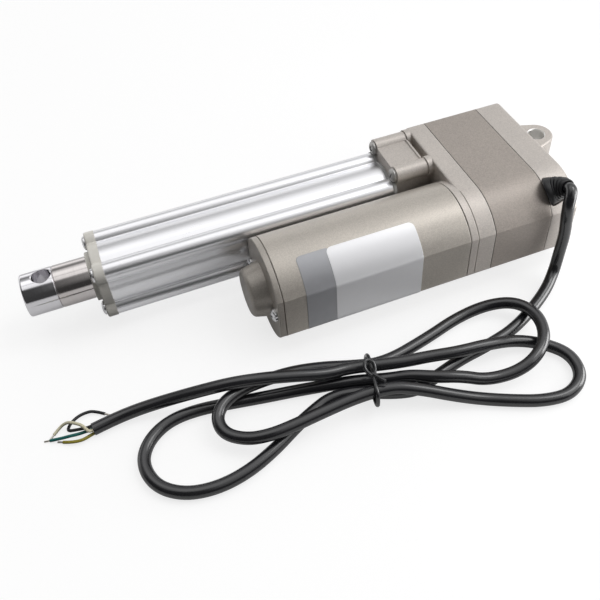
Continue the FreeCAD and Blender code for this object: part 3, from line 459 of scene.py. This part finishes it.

# Motor casing and end cap. A rolled steel casing with two flats and a cast cap with a conical bearing boss,
# sprayed with a silver paint like that of the gear housing, a little darker on the cap.
# The lighter edge colour of the motor paints is a painted highlight along their rounded edges.
motor_paint = metal_paint(
    "motor_paint",
    dark=(0.50, 0.465, 0.42),
    light=(0.66, 0.615, 0.56),
    edge_highlight=(0.76, 0.71, 0.66),
    roughness=0.41,
    metallic=0.5,
    flakes=2900.0,
)
dress(motor_paint, "motor_casing")
end_cap_paint = metal_paint(
    "motor_cap_paint",
    dark=(0.41, 0.38, 0.345),
    light=(0.54, 0.505, 0.46),
    edge_highlight=(0.72, 0.67, 0.62),
    roughness=0.42,
    metallic=0.45,
    flakes=2900.0,
)
dress(end_cap_paint, "motor_end_cap")

# Blank rating plate. A white film with rounded corners and a silver band beside it, both left bare, stuck on
# the motor's round and pressed down over the crease on to its flat and round its lower edge.
motor_y = 36.9 * mm
motor_radius = 22.5 * mm
motor_flat = 19.8 * mm
crease = math.acos(motor_flat / motor_radius)
plate_top = math.radians(70.0)
round_run = (plate_top - crease) * motor_radius
flat_run = 2 * motor_radius * math.sin(crease)
tucked_run = 5.0 * mm


def on_motor(x, down_by, proud):
    """The point on the motor's skin that lies so far below the plate's top edge, lifted by proud."""
    below_flat = down_by - round_run - flat_run
    if round_run <= down_by and below_flat < 0:
        return Vector((x, motor_y + motor_flat + proud, -flat_run / 2 - below_flat))
    if down_by < round_run:
        angle = plate_top - down_by / motor_radius
    else:
        angle = -crease - below_flat / motor_radius
    reach = motor_radius + proud
    return Vector((x, motor_y + reach * math.cos(angle), reach * math.sin(angle)))


def finish_mesh(name, mesh, material, sharp_degrees):
    """Turns a bmesh into an object, smooth except over sharp edges."""
    data = bpy.data.meshes.new(name)
    mesh.to_mesh(data)
    mesh.free()
    data.materials.append(material)
    data.shade_smooth()
    data.set_sharp_from_angle(angle=math.radians(sharp_degrees))
    made = bpy.data.objects.new(name, data)
    scene.collection.objects.link(made)
    return made


def stuck_film(name, x_from, x_to, proud, thickness, corner, material):
    """A film with rounded corners that follows the motor's skin."""
    corner_rows, round_rows, flat_rows, tucked_rows, columns = 8, 24, 12, 4, 14
    total = round_run + flat_run + tucked_run
    at_corner = [corner * (1 - math.cos(math.pi * k / (2 * corner_rows))) for k in range(corner_rows)]
    rows = list(at_corner)
    rows += [corner + (round_run - corner) * k / round_rows for k in range(round_rows)]
    rows += [round_run + flat_run * k / flat_rows for k in range(flat_rows)]
    rows += [total - tucked_run + (tucked_run - corner) * k / tucked_rows for k in range(tucked_rows + 1)]
    rows += [total - down_by for down_by in reversed(at_corner)]
    mesh = bmesh.new()
    layers = []
    for lift in (proud, proud + thickness):
        grid = []
        for down_by in rows:
            miss = max(0.0, corner - min(down_by, total - down_by))
            inset = corner - math.sqrt(max(0.0, corner**2 - miss**2))
            low, high = x_from + inset, x_to - inset
            places = [low + (high - low) * c / columns for c in range(columns + 1)]
            grid.append([mesh.verts.new(on_motor(x, down_by, lift)) for x in places])
        layers.append(grid)
    under, over = layers
    last = len(rows) - 1
    for r in range(last):
        for c in range(columns):
            for grid in layers:
                mesh.faces.new((grid[r][c], grid[r][c + 1], grid[r + 1][c + 1], grid[r + 1][c]))
    for r in range(last):
        for c in (0, columns):
            mesh.faces.new((under[r][c], under[r + 1][c], over[r + 1][c], over[r][c]))
    for c in range(columns):
        for r in (0, last):
            mesh.faces.new((under[r][c], under[r][c + 1], over[r][c + 1], over[r][c]))
    bmesh.ops.recalc_face_normals(mesh, faces=mesh.faces)
    return finish_mesh(name, mesh, material, sharp_degrees=30.0)


film_grain = (250.0, 250.0)
white_film = tooled(
    "white_film", dark=(0.93, 0.93, 0.95), light=(0.96, 0.96, 0.98),
    roughness=0.34, metallic=0.3, lines=film_grain, depth=0.05, spread=0.08,
)
silver_film = tooled(
    "silver_film", dark=(0.40, 0.405, 0.425), light=(0.46, 0.465, 0.49),
    roughness=0.38, metallic=0.4, lines=film_grain, depth=0.05, spread=0.08,
)
band = stuck_film(
    "plate_band",
    x_from=130.0 * mm,
    x_to=144.8 * mm,
    proud=0.03 * mm,
    thickness=0.07 * mm,
    corner=2.0 * mm,
    material=silver_film,
)
plate = stuck_film(
    "rating_plate",
    x_from=91.9 * mm,
    x_to=131.7 * mm,
    proud=0.05 * mm,
    thickness=0.10 * mm,
    corner=2.6 * mm,
    material=white_film,
)
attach(band, "housing")
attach(plate, "housing")

# Extruded guide tube. Aluminium pushed through a die, so long fine lines run along it, then anodised clear;
# a thin grey seal sits between it and the pedestal.
anodised = tooled(
    "clear_anodised", dark=(0.82, 0.82, 0.84), light=(0.93, 0.93, 0.95),
    roughness=0.26, metallic=0.95, lines=(12.0, 2600.0), depth=0.06, spread=0.08,
)
dress(anodised, "outer_tube")
grey_seal = tooled(
    "grey_seal", dark=(0.40, 0.40, 0.40), light=(0.52, 0.52, 0.51),
    roughness=0.5, metallic=0.0, lines=(800.0, 800.0),
)
dress(grey_seal, "tube_gasket")

# Front cap and wiper. A natural nylon moulding, slightly see-through, closes the tube and holds a ring that
# wipes the rod.
cap_nylon = tooled(
    "natural_nylon", dark=(0.80, 0.775, 0.71), light=(0.88, 0.855, 0.795),
    roughness=0.30, metallic=0.0, lines=(500.0, 500.0),
)
cap_shader = cap_nylon.node_tree.nodes["Principled BSDF"]
cap_shader.inputs["Transmission Weight"].default_value = 0.08
cap_shader.inputs["IOR"].default_value = 1.45
dress(cap_nylon, "front_cap", "rod_wiper")

# Piston rod and rod end. The rod is steel tube, ground and hard chromed; the solid end pressed into it is
# chromed and polished brighter. Both keep very fine lines round them.
bright_chrome = tooled(
    "bright_chrome", dark=(0.70, 0.69, 0.715), light=(0.79, 0.78, 0.805),
    roughness=0.06, metallic=1.0, lines=(9000.0, 60.0), depth=0.03, spread=0.05,
)
ground_chrome = tooled(
    "ground_chrome", dark=(0.55, 0.515, 0.505), light=(0.68, 0.645, 0.635),
    roughness=0.09, metallic=1.0, lines=(7000.0, 60.0), depth=0.06, spread=0.06,
)
dress(bright_chrome, "rod_end")
dress(ground_chrome, "piston_rod")

# Screws. Zinc plated cross-recess pan heads with rolled threads: four hold the front cap, four the pedestal,
# four the rear cover, two long ones the motor cap, and four sit hidden behind the tube.
zinc_grain = (1500.0, 1500.0)
bright_zinc = tooled(
    "bright_zinc", dark=(0.62, 0.62, 0.63), light=(0.82, 0.82, 0.83),
    roughness=0.16, metallic=1.0, lines=zinc_grain, depth=0.06, spread=0.1,
)
dull_zinc = tooled(
    "dull_zinc", dark=(0.42, 0.41, 0.40), light=(0.60, 0.59, 0.57),
    roughness=0.42, metallic=0.8, lines=zinc_grain, depth=0.06, spread=0.1,
)
screw_tree = bpy.data.node_groups.new("pan_screw", "GeometryNodeTree")
screw_sockets = {}
for label, kind in [
    ("Geometry", "NodeSocketGeometry"),
    ("Head Radius", "NodeSocketFloat"),
    ("Head Height", "NodeSocketFloat"),
    ("Shank Radius", "NodeSocketFloat"),
    ("Shank Length", "NodeSocketFloat"),
    ("Thread Pitch", "NodeSocketFloat"),
    ("Facing", "NodeSocketVector"),
    ("Seed", "NodeSocketInt"),
    ("Finish", "NodeSocketMaterial"),
]:
    screw_sockets[label] = screw_tree.interface.new_socket(label, in_out="INPUT", socket_type=kind)
screw_tree.interface.new_socket("Geometry", in_out="OUTPUT", socket_type="NodeSocketGeometry")
given = screw_tree.nodes.new("NodeGroupInput").outputs
result = screw_tree.nodes.new("NodeGroupOutput").inputs


def reckon(operation, first, second=0.0, third=0.0):
    return math_node(screw_tree, operation, first, second, third)


def upright(x, y, z):
    return add(screw_tree, "ShaderNodeCombineXYZ", {"X": x, "Y": y, "Z": z}).outputs["Vector"]


def raised(geometry, height):
    inputs = {"Geometry": geometry, "Translation": upright(0.0, 0.0, height)}
    return add(screw_tree, "GeometryNodeTransform", inputs).outputs["Geometry"]


def reshaped(geometry, position):
    inputs = {"Geometry": geometry, "Position": position}
    return add(screw_tree, "GeometryNodeSetPosition", inputs).outputs["Geometry"]


# The head is a disc whose top sinks towards its rim, with two crossed slots cut in it.
rim_curve, rim_drop = 3.5, -0.5
head_inputs = {"Vertices": 40, "Side Segments": 3, "Fill Segments": 6}
head_inputs |= {"Radius": given["Head Radius"], "Depth": given["Head Height"]}
disc = add(screw_tree, "GeometryNodeMeshCylinder", head_inputs, fill_type="TRIANGLE_FAN").outputs["Mesh"]
standing = raised(disc, reckon("MULTIPLY", given["Head Height"], 0.5))
position = add(screw_tree, "GeometryNodeInputPosition").outputs["Position"]
axes = add(screw_tree, "ShaderNodeSeparateXYZ", {"Vector": position}).outputs
squares = [reckon("MULTIPLY", axes[name], axes[name]) for name in ("X", "Y")]
out_by = reckon("POWER", reckon("ADD", *squares), 0.5)
rim_share = reckon("POWER", reckon("DIVIDE", out_by, given["Head Radius"]), rim_curve)
dome = reckon("MULTIPLY", axes["Z"], reckon("MULTIPLY_ADD", rim_share, rim_drop, 1.0))
domed = reshaped(standing, upright(axes["X"], axes["Y"], dome))
slot_share = {"long": 1.15, "wide": 0.24, "deep": 1.1}
slot_long = reckon("MULTIPLY", given["Head Radius"], slot_share["long"])
slot_wide = reckon("MULTIPLY", given["Head Radius"], slot_share["wide"])
slot_deep = reckon("MULTIPLY", given["Head Height"], slot_share["deep"])
slotted = add(screw_tree, "GeometryNodeMeshBoolean", {"Mesh 1": domed}, operation="DIFFERENCE")
for length, width in ((slot_long, slot_wide), (slot_wide, slot_long)):
    bar_size = upright(length, width, slot_deep)
    bar = add(screw_tree, "GeometryNodeMeshCube", {"Size": bar_size}).outputs["Mesh"]
    screw_tree.links.new(raised(bar, given["Head Height"]), slotted.inputs["Mesh 2"])

# The shank is a rod whose skin rises and falls along a helix.
thread_depth, thread_core = 0.06, 0.93
shank_inputs = {"Vertices": 14, "Side Segments": 72}
shank_inputs |= {"Radius": given["Shank Radius"], "Depth": given["Shank Length"]}
shank = add(screw_tree, "GeometryNodeMeshCylinder", shank_inputs).outputs["Mesh"]
turn_angle = reckon("ARCTAN2", axes["Y"], axes["X"])
turns = reckon("MULTIPLY", reckon("DIVIDE", axes["Z"], given["Thread Pitch"]), 2 * math.pi)
wave = reckon("SINE", reckon("ADD", turns, turn_angle))
swell = reckon("MULTIPLY_ADD", wave, thread_depth, thread_core)
swollen = [reckon("MULTIPLY", axes[name], swell) for name in ("X", "Y")]
threaded = reshaped(shank, upright(*swollen, axes["Z"]))
sunk = raised(threaded, reckon("MULTIPLY", given["Shank Length"], -0.5))
whole = add(screw_tree, "GeometryNodeJoinGeometry")
screw_tree.links.new(slotted.outputs["Mesh"], whole.inputs["Geometry"])
screw_tree.links.new(sunk, whole.inputs["Geometry"])

# Each seat gets a screw, turned by chance as a driver leaves it.
spin_inputs = {"Min": 0.0, "Max": 1.5, "Seed": given["Seed"]}
spin = add(screw_tree, "FunctionNodeRandomValue", spin_inputs, data_type="FLOAT")
spin_level = [socket for socket in spin.outputs if socket.enabled][0]
seat_inputs = {"Points": given["Geometry"], "Rotation": given["Facing"]}
seat_inputs["Instance"] = whole.outputs["Geometry"]
seated = add(screw_tree, "GeometryNodeInstanceOnPoints", seat_inputs).outputs["Instances"]
turn_inputs = {"Instances": seated, "Rotation": upright(0.0, 0.0, spin_level), "Local Space": True}
spun = add(screw_tree, "GeometryNodeRotateInstances", turn_inputs).outputs["Instances"]
real = add(screw_tree, "GeometryNodeRealizeInstances", {"Geometry": spun}).outputs["Geometry"]
plated = add(screw_tree, "GeometryNodeSetMaterial", {"Geometry": real, "Material": given["Finish"]})
screw_tree.links.new(plated.outputs["Geometry"], result["Geometry"])


def settle(made):
    """Replaces an object's data by the plain mesh that its modifiers give, and removes them."""
    graph = bpy.context.evaluated_depsgraph_get()
    mesh = bpy.data.meshes.new_from_object(made.evaluated_get(graph), depsgraph=graph)
    made.modifiers.clear()
    made.data = mesh
    return mesh


def screws(node, face, seats, facing, head, shank, seed, finish):
    """The screws that stand for one CAD node, on a face across X at (y, z) seats, all in millimetres.

    The head is (radius, height) and the shank is (radius, length).
    """
    thread_pitch, sharp_degrees = 0.7, 38.0
    data = bpy.data.meshes.new(node + "_set")
    data.from_pydata([Vector((face, y, z)) * mm for y, z in seats], [], [])
    made = bpy.data.objects.new(node + "_set", data)
    scene.collection.objects.link(made)
    modifier = made.modifiers.new("pan_screw", "NODES")
    modifier.node_group = screw_tree
    turned_to = Vector((0, 0, 1)).rotation_difference(Vector((facing, 0, 0))).to_euler()
    values = {
        "Head Radius": head[0] * mm,
        "Head Height": head[1] * mm,
        "Shank Radius": shank[0] * mm,
        "Shank Length": shank[1] * mm,
        "Thread Pitch": thread_pitch * mm,
        "Facing": tuple(turned_to),
        "Seed": seed,
        "Finish": finish,
    }
    for label, value in values.items():
        modifier[screw_sockets[label].identifier] = value
    mesh = settle(made)
    mesh.shade_smooth()
    mesh.set_sharp_from_angle(angle=math.radians(sharp_degrees))
    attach(made, "housing")
    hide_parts(node)


def corner_seats(y, z):
    return [(-y, -z), (-y, z), (y, -z), (y, z)]


to_rod, to_rear = 1, -1
cover_seats = [(-11.0, -18.0), (-11.0, 18.0), (33.0, -18.0), (33.0, 18.0)]
bolt_seats = [(motor_y / mm + y, 0.0) for y in (-15.7, 15.7)]
screws(
    "cap_screws", face=223.5, seats=corner_seats(10.5, 10.5), facing=to_rod,
    head=(3.15, 1.6), shank=(1.75, 16.0), seed=3, finish=bright_zinc,
)
screws(
    "housing_screws", face=84.1, seats=corner_seats(11.0, 18.0), facing=to_rod,
    head=(3.2, 2.0), shank=(2.0, 40.0), seed=5, finish=dull_zinc,
)
screws(
    "rear_cover_screws", face=16.4, seats=cover_seats, facing=to_rear,
    head=(3.2, 2.0), shank=(2.0, 21.0), seed=8, finish=dull_zinc,
)
screws(
    "motor_bolts", face=157.4, seats=bolt_seats, facing=to_rod,
    head=(3.1, 2.2), shank=(1.8, 93.0), seed=11, finish=bright_zinc,
)
dress(bright_zinc, "tube_screws")

# Cable gland. A moulded black rubber boot leans back out of its seat in the rear cover and bends outwards,
# with three ribs on its bend; the elbow moulded in it turns the cable down over the edge of the housing.
gland_base = Vector((28.2, 49.146, 18.156)) * mm
gland_axis = Vector((-0.81915, 0.32074, 0.47552)).normalized()
boot_lean = Vector((0.492, 0.815, 0.301)).normalized()
boot_straight = 2.4 * mm
boot_bend = 7.6 * mm


def boot_line(along):
    """The centre and the direction of the boot so far along its bent axis."""
    turn = max(0.0, along - boot_straight) / boot_bend
    ahead = min(along, boot_straight) + boot_bend * math.sin(turn)
    centre = gland_base + gland_axis * ahead + boot_lean * (boot_bend * (1 - math.cos(turn)))
    return centre, gland_axis * math.cos(turn) + boot_lean * math.sin(turn)


def moulded_round(profile, steps):
    """A closed solid round the boot's axis from (distance along it, radius), both in millimetres."""
    mesh = bmesh.new()
    side = gland_axis.cross(boot_lean).normalized()
    angles = [2 * math.pi * k / steps for k in range(steps)]
    rings = []
    for along, radius in profile:
        centre, axis = boot_line(along * mm)
        other = axis.cross(side)
        if radius == 0:
            rings.append([mesh.verts.new(centre)] * steps)
            continue
        spokes = [side * math.cos(angle) + other * math.sin(angle) for angle in angles]
        rings.append([mesh.verts.new(centre + spoke * (radius * mm)) for spoke in spokes])
    for low, high in zip(rings, rings[1:]):
        for k in range(steps):
            after = (k + 1) % steps
            corners = (low[k], low[after], high[after], high[k])
            mesh.faces.new(tuple(dict.fromkeys(corners)))
    bmesh.ops.recalc_face_normals(mesh, faces=mesh.faces)
    return mesh


def smooth_line(name, points, radius, closed=False, rings=5):
    """A round line of one smooth spline with these control points."""
    curve = bpy.data.curves.new(name, "CURVE")
    curve.dimensions = "3D"
    spline = curve.splines.new("NURBS")
    spline.points.add(len(points) - 1)
    for target, point in zip(spline.points, points):
        target.co = (*point, 1.0)
    spline.order_u = 3
    spline.use_endpoint_u = not closed
    spline.use_cyclic_u = closed
    spline.resolution_u = 10
    curve.bevel_depth = radius
    curve.bevel_resolution = rings
    curve.use_fill_caps = not closed
    made = bpy.data.objects.new(name, curve)
    scene.collection.objects.link(made)
    return made


def mould_in(mesh, points, radius, finish=0, closed=False, rings=3):
    """Adds a round line to a bmesh, in the material with this number."""
    line = smooth_line("line", points, radius, closed, rings)
    first_face = len(mesh.faces)
    mesh.from_mesh(bpy.data.meshes.new_from_object(line))
    mesh.faces.ensure_lookup_table()
    for face in mesh.faces[first_face:]:
        face.material_index = finish
    bpy.data.objects.remove(line)


rubber = tooled(
    "black_rubber", dark=(0.006, 0.006, 0.007), light=(0.014, 0.014, 0.016),
    roughness=0.38, metallic=0.0, lines=(1400.0, 1400.0), depth=0.18, spread=0.16,
)
jacket = tooled(
    "black_jacket", dark=(0.011, 0.011, 0.013), light=(0.021, 0.021, 0.024),
    roughness=0.17, metallic=0.0, lines=(900.0, 900.0), depth=0.06, spread=0.08,
)
jacket.node_tree.nodes["Principled BSDF"].inputs["Specular IOR Level"].default_value = 0.9
first_rib, rib_step = 3.9, 1.75
first_crest, crest_step = 5.6, 0.5
boot_profile = [(0.0, 0), (0.0, 6.0), (0.25, 6.2), (1.5, 6.2), (1.8, 6.0), (2.7, 5.9), (3.4, 5.6)]
for rib in range(3):
    start = first_rib + rib_step * rib
    crest = first_crest - crest_step * rib
    boot_profile += [(start - 0.25, crest - 0.8), (start, crest)]
    boot_profile += [(start + 1.0, crest - 0.2), (start + 1.2, crest - 1.0)]
boot_profile += [(9.2, 3.9), (9.9, 3.7), (10.2, 3.2), (10.0, 2.75), (8.5, 2.6), (8.5, 0)]
boot_mesh = moulded_round(boot_profile, steps=56)
boot_length = 10.4 * mm
elbow_radius = 2.62 * mm
elbow_from, elbow_rise, elbow_fall = 7.0 * mm, 3.2 * mm, 3.6 * mm
straight_inside, straight_after, overlap = 2.0 * mm, 6.0 * mm, 0.4 * mm
mouth, mouth_axis = boot_line(boot_length)
leaving = Vector((0.45, 0.50, -0.74)).normalized()
elbow_top = mouth + mouth_axis * elbow_rise
cable_exit = elbow_top + leaving * elbow_fall
cable_bends = cable_exit + leaving * straight_after
elbow_points = [
    boot_line(elbow_from)[0],
    mouth - mouth_axis * straight_inside,
    elbow_top,
    cable_exit + leaving * overlap,
]
mould_in(boot_mesh, elbow_points, elbow_radius, finish=1, rings=6)
boot = finish_mesh("cable_boot", boot_mesh, rubber, sharp_degrees=50.0)
boot.data.materials.append(jacket)
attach(boot, "housing")
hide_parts("cable_gland")

# Cable. Four cores in a black plastic jacket, about a metre of it, laid back and forth in four loops on the
# table and tied once. Each point of the route is in cable widths: along from the gland, out from the motor's
# flat, lift.
route = [
    (-0.63, 1.17, 4.62), (-0.50, 1.25, 2.38), (0.05, 1.79, 0.52), (1.97, 3.33, 0.10),
    (5.88, 5.42, 0.00), (9.08, 6.17, 0.00), (11.90, 6.54, 0.00), (14.48, 7.25, 0.00),
    (16.31, 7.87, 0.04), (18.35, 7.56, 0.37), (20.92, 6.29, 0.33), (22.96, 5.87, 0.12),
    (24.58, 6.40, 0.00), (26.21, 7.13, 0.00), (28.46, 8.40, 0.00), (30.87, 9.37, 0.00),
    (33.33, 9.71, 0.00), (35.67, 9.25, 0.00), (37.42, 7.85, 0.00), (37.96, 5.69, 0.00),
    (37.08, 3.98, 0.00), (35.25, 2.90, 0.00), (32.90, 2.79, 0.00), (30.27, 3.25, 0.00),
    (27.54, 3.77, 0.00), (24.90, 4.23, 0.04), (20.83, 5.25, 0.33), (18.23, 6.17, 0.37),
    (16.62, 6.87, 0.90), (14.96, 7.98, 1.23), (13.04, 8.67, 1.15), (11.19, 9.38, 0.54),
    (8.73, 9.73, 0.65), (6.73, 9.38, 1.17), (4.96, 7.88, 1.23), (4.29, 5.63, 1.21),
    (5.15, 3.63, 0.96), (7.19, 2.60, 0.38), (10.08, 2.63, 0.04), (13.40, 3.58, 0.04),
    (17.85, 4.71, 0.37), (20.54, 3.87, 0.37), (22.46, 3.13, 0.33), (24.85, 2.58, 0.37),
    (27.25, 2.67, 0.65), (29.40, 3.06, 1.04), (30.94, 3.71, 1.15), (31.83, 4.79, 1.00),
    (31.62, 6.17, 0.81), (30.23, 7.27, 0.85), (28.54, 7.75, 1.08), (26.75, 7.75, 1.19),
    (24.75, 7.54, 1.19), (21.31, 7.29, 1.25), (18.50, 7.60, 1.40), (16.42, 8.52, 1.12),
    (14.31, 9.56, 0.54), (12.29, 10.40, 0.00), (10.04, 11.54, 0.00), (7.81, 12.48, 0.00),
    (5.62, 12.75, 0.00), (3.81, 11.63, 0.00), (3.46, 9.52, 0.00), (4.77, 7.83, 0.00),
    (6.96, 6.77, 0.35), (9.69, 6.71, 1.08), (12.19, 6.54, 1.21), (14.50, 6.02, 1.19),
    (16.50, 5.71, 1.19), (18.31, 5.25, 1.17), (20.73, 4.56, 1.17), (22.73, 4.58, 1.46),
    (25.02, 4.06, 1.85), (27.29, 3.54, 2.12), (29.79, 2.98, 2.17), (32.23, 2.35, 1.65),
    (34.69, 1.63, 0.88), (37.08, 1.15, 0.31), (39.23, 1.10, 0.02), (40.85, 1.37, 0.00),
]
cable_width = 5.2 * mm
lying = floor_z + cable_width / 2


def beside(along, out, lift):
    """The point that lies so many cable widths from the gland, from the motor's flat and from the table."""
    x = gland_base.x + along * cable_width
    return Vector((x, motor_y + motor_flat + out * cable_width, lying + lift * cable_width))


cable_points = [cable_exit, cable_bends] + [beside(*place) for place in route]
cable = smooth_line("cable_jacket", cable_points, cable_width / 2)
cable.data.materials.append(jacket)
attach(cable, "housing")
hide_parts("cable")

# Conductors. Four stranded cores, each in its own coloured insulation, stick out where the jacket is cut
# off; their tinned ends are bare.
end_way = (cable_points[-1] - cable_points[-2]).normalized()
end_side = Vector((-end_way.y, end_way.x, 0.0)).normalized()
end_up = Vector((0.0, 0.0, 1.0))
wire_radius = 0.65 * mm
strand_radius = 0.39 * mm


def insulation(name, colour):
    lighter = 1.25
    light = tuple(min(1.0, part * lighter) for part in colour)
    return tooled(
        name, dark=colour, light=light,
        roughness=0.36, metallic=0.0, lines=(600.0, 600.0), depth=0.05, spread=0.1,
    )


tinned = tooled(
    "tinned_strands", dark=(0.50, 0.46, 0.40), light=(0.78, 0.74, 0.68),
    roughness=0.25, metallic=1.0, lines=(300.0, 6000.0), depth=0.3,
)
wire_colours = [
    insulation("teal_insulation", (0.005, 0.12, 0.11)),
    insulation("olive_insulation", (0.30, 0.25, 0.03)),
    insulation("black_insulation", (0.012, 0.012, 0.014)),
    insulation("cream_insulation", (0.62, 0.58, 0.42)),
]
# Each core: the side and height of its root in the jacket, then its points, given as the cable's are.
wire_routes = [
    (-1, -1, [
        (41.40, 1.21, -0.17), (41.98, 1.29, -0.06), (42.65, 1.23, -0.02), (43.33, 1.10, -0.13),
        (44.15, 0.83, -0.33),
    ]),
    (1, -1, [(41.31, 1.71, -0.21), (41.88, 1.87, -0.17), (42.69, 1.67, -0.21), (43.23, 1.35, -0.35)]),
    (-1, 1, [
        (41.50, 1.12, 0.19), (42.08, 0.98, 0.13), (42.73, 0.79, 0.06), (42.46, 0.10, -0.10),
        (41.87, -0.33, -0.13), (41.23, -0.52, -0.19), (40.56, -0.50, -0.27), (39.79, 0.08, -0.33),
    ]),
    (1, 1, [
        (41.25, 1.50, 0.36), (41.50, 1.06, 0.56), (41.94, 0.67, 0.52), (42.38, 0.29, 0.40),
        (42.85, -0.02, 0.02), (43.33, 0.04, -0.25), (43.81, 0.44, -0.33),
    ]),
]
wire_place = 1.1 * mm
root_inside = 1.0 * mm
root_outside = 1.2 * mm
bare_length = 2.5 * mm
wire_mesh = bmesh.new()
for index, (side, up, places) in enumerate(wire_routes):
    root = cable_points[-1] + (end_side * side + end_up * up) * wire_place
    covered = [root - end_way * root_inside, root + end_way * root_outside]
    covered += [beside(*place) for place in places]
    tip = covered[-1]
    tip_way = (tip - covered[-2]).normalized()
    bare = [covered[-2], tip, tip + tip_way * bare_length]
    mould_in(wire_mesh, covered, wire_radius, finish=index)
    mould_in(wire_mesh, bare, strand_radius, finish=len(wire_colours))
wires = finish_mesh("cable_cores", wire_mesh, wire_colours[0], sharp_degrees=40.0)
for finish in wire_colours[1:] + [tinned]:
    wires.data.materials.append(finish)
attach(wires, "housing")
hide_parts("cable_wires")

# Twist tie. A plastic covered wire bent once round the bundle; its ends are twisted into an eye and one
# short tail on top.
tie_radius = 0.8 * mm
tie_centre = beside(19.46, 5.87, 0.0)
tie_across = Vector((0.227, 0.974, 0.0))
tie_outline = [
    (-2.577, 0.269), (-2.038, -0.337), (1.462, -0.337), (2.769, 0.885),
    (2.308, 2.192), (0.769, 2.154), (-1.385, 2.038),
]
tie_points = []
for side, lift in tie_outline:
    lifted = Vector((0.0, 0.0, lift * cable_width))
    tie_points.append(tie_centre + tie_across * (side * cable_width) + lifted)
knot = tie_points[5]
eye_size = 2.2 * mm
eye_rise = Vector((0.1, -0.8, 0.6)) * eye_size
eye_wide = Vector((1.0, 0.2, 0.1)) * eye_size
eye_outline = [(0, -0.2), (0.9, 1.2), (1.05, 2.4), (0, 3.4), (-1.05, 2.4), (-0.9, 1.2)]
eye_points = [knot + eye_wide * wide + eye_rise * rise for wide, rise in eye_outline]
tail_root = knot + eye_rise * 0.5
tail_way = Vector((-0.45, 0.85, 0.1)).normalized()
tail_middle, tail_length = 3.0 * mm, 6.5 * mm
tail_points = [tail_root, tail_root + tail_way * tail_middle, tail_root + tail_way * tail_length]
tie_mesh = bmesh.new()
for points, closed in ((tie_points, True), (eye_points, True), (tail_points, False)):
    mould_in(tie_mesh, points, tie_radius, closed=closed)
tie = finish_mesh("twist_tie", tie_mesh, jacket, sharp_degrees=45.0)
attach(tie, "housing")
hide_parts("cable_tie")
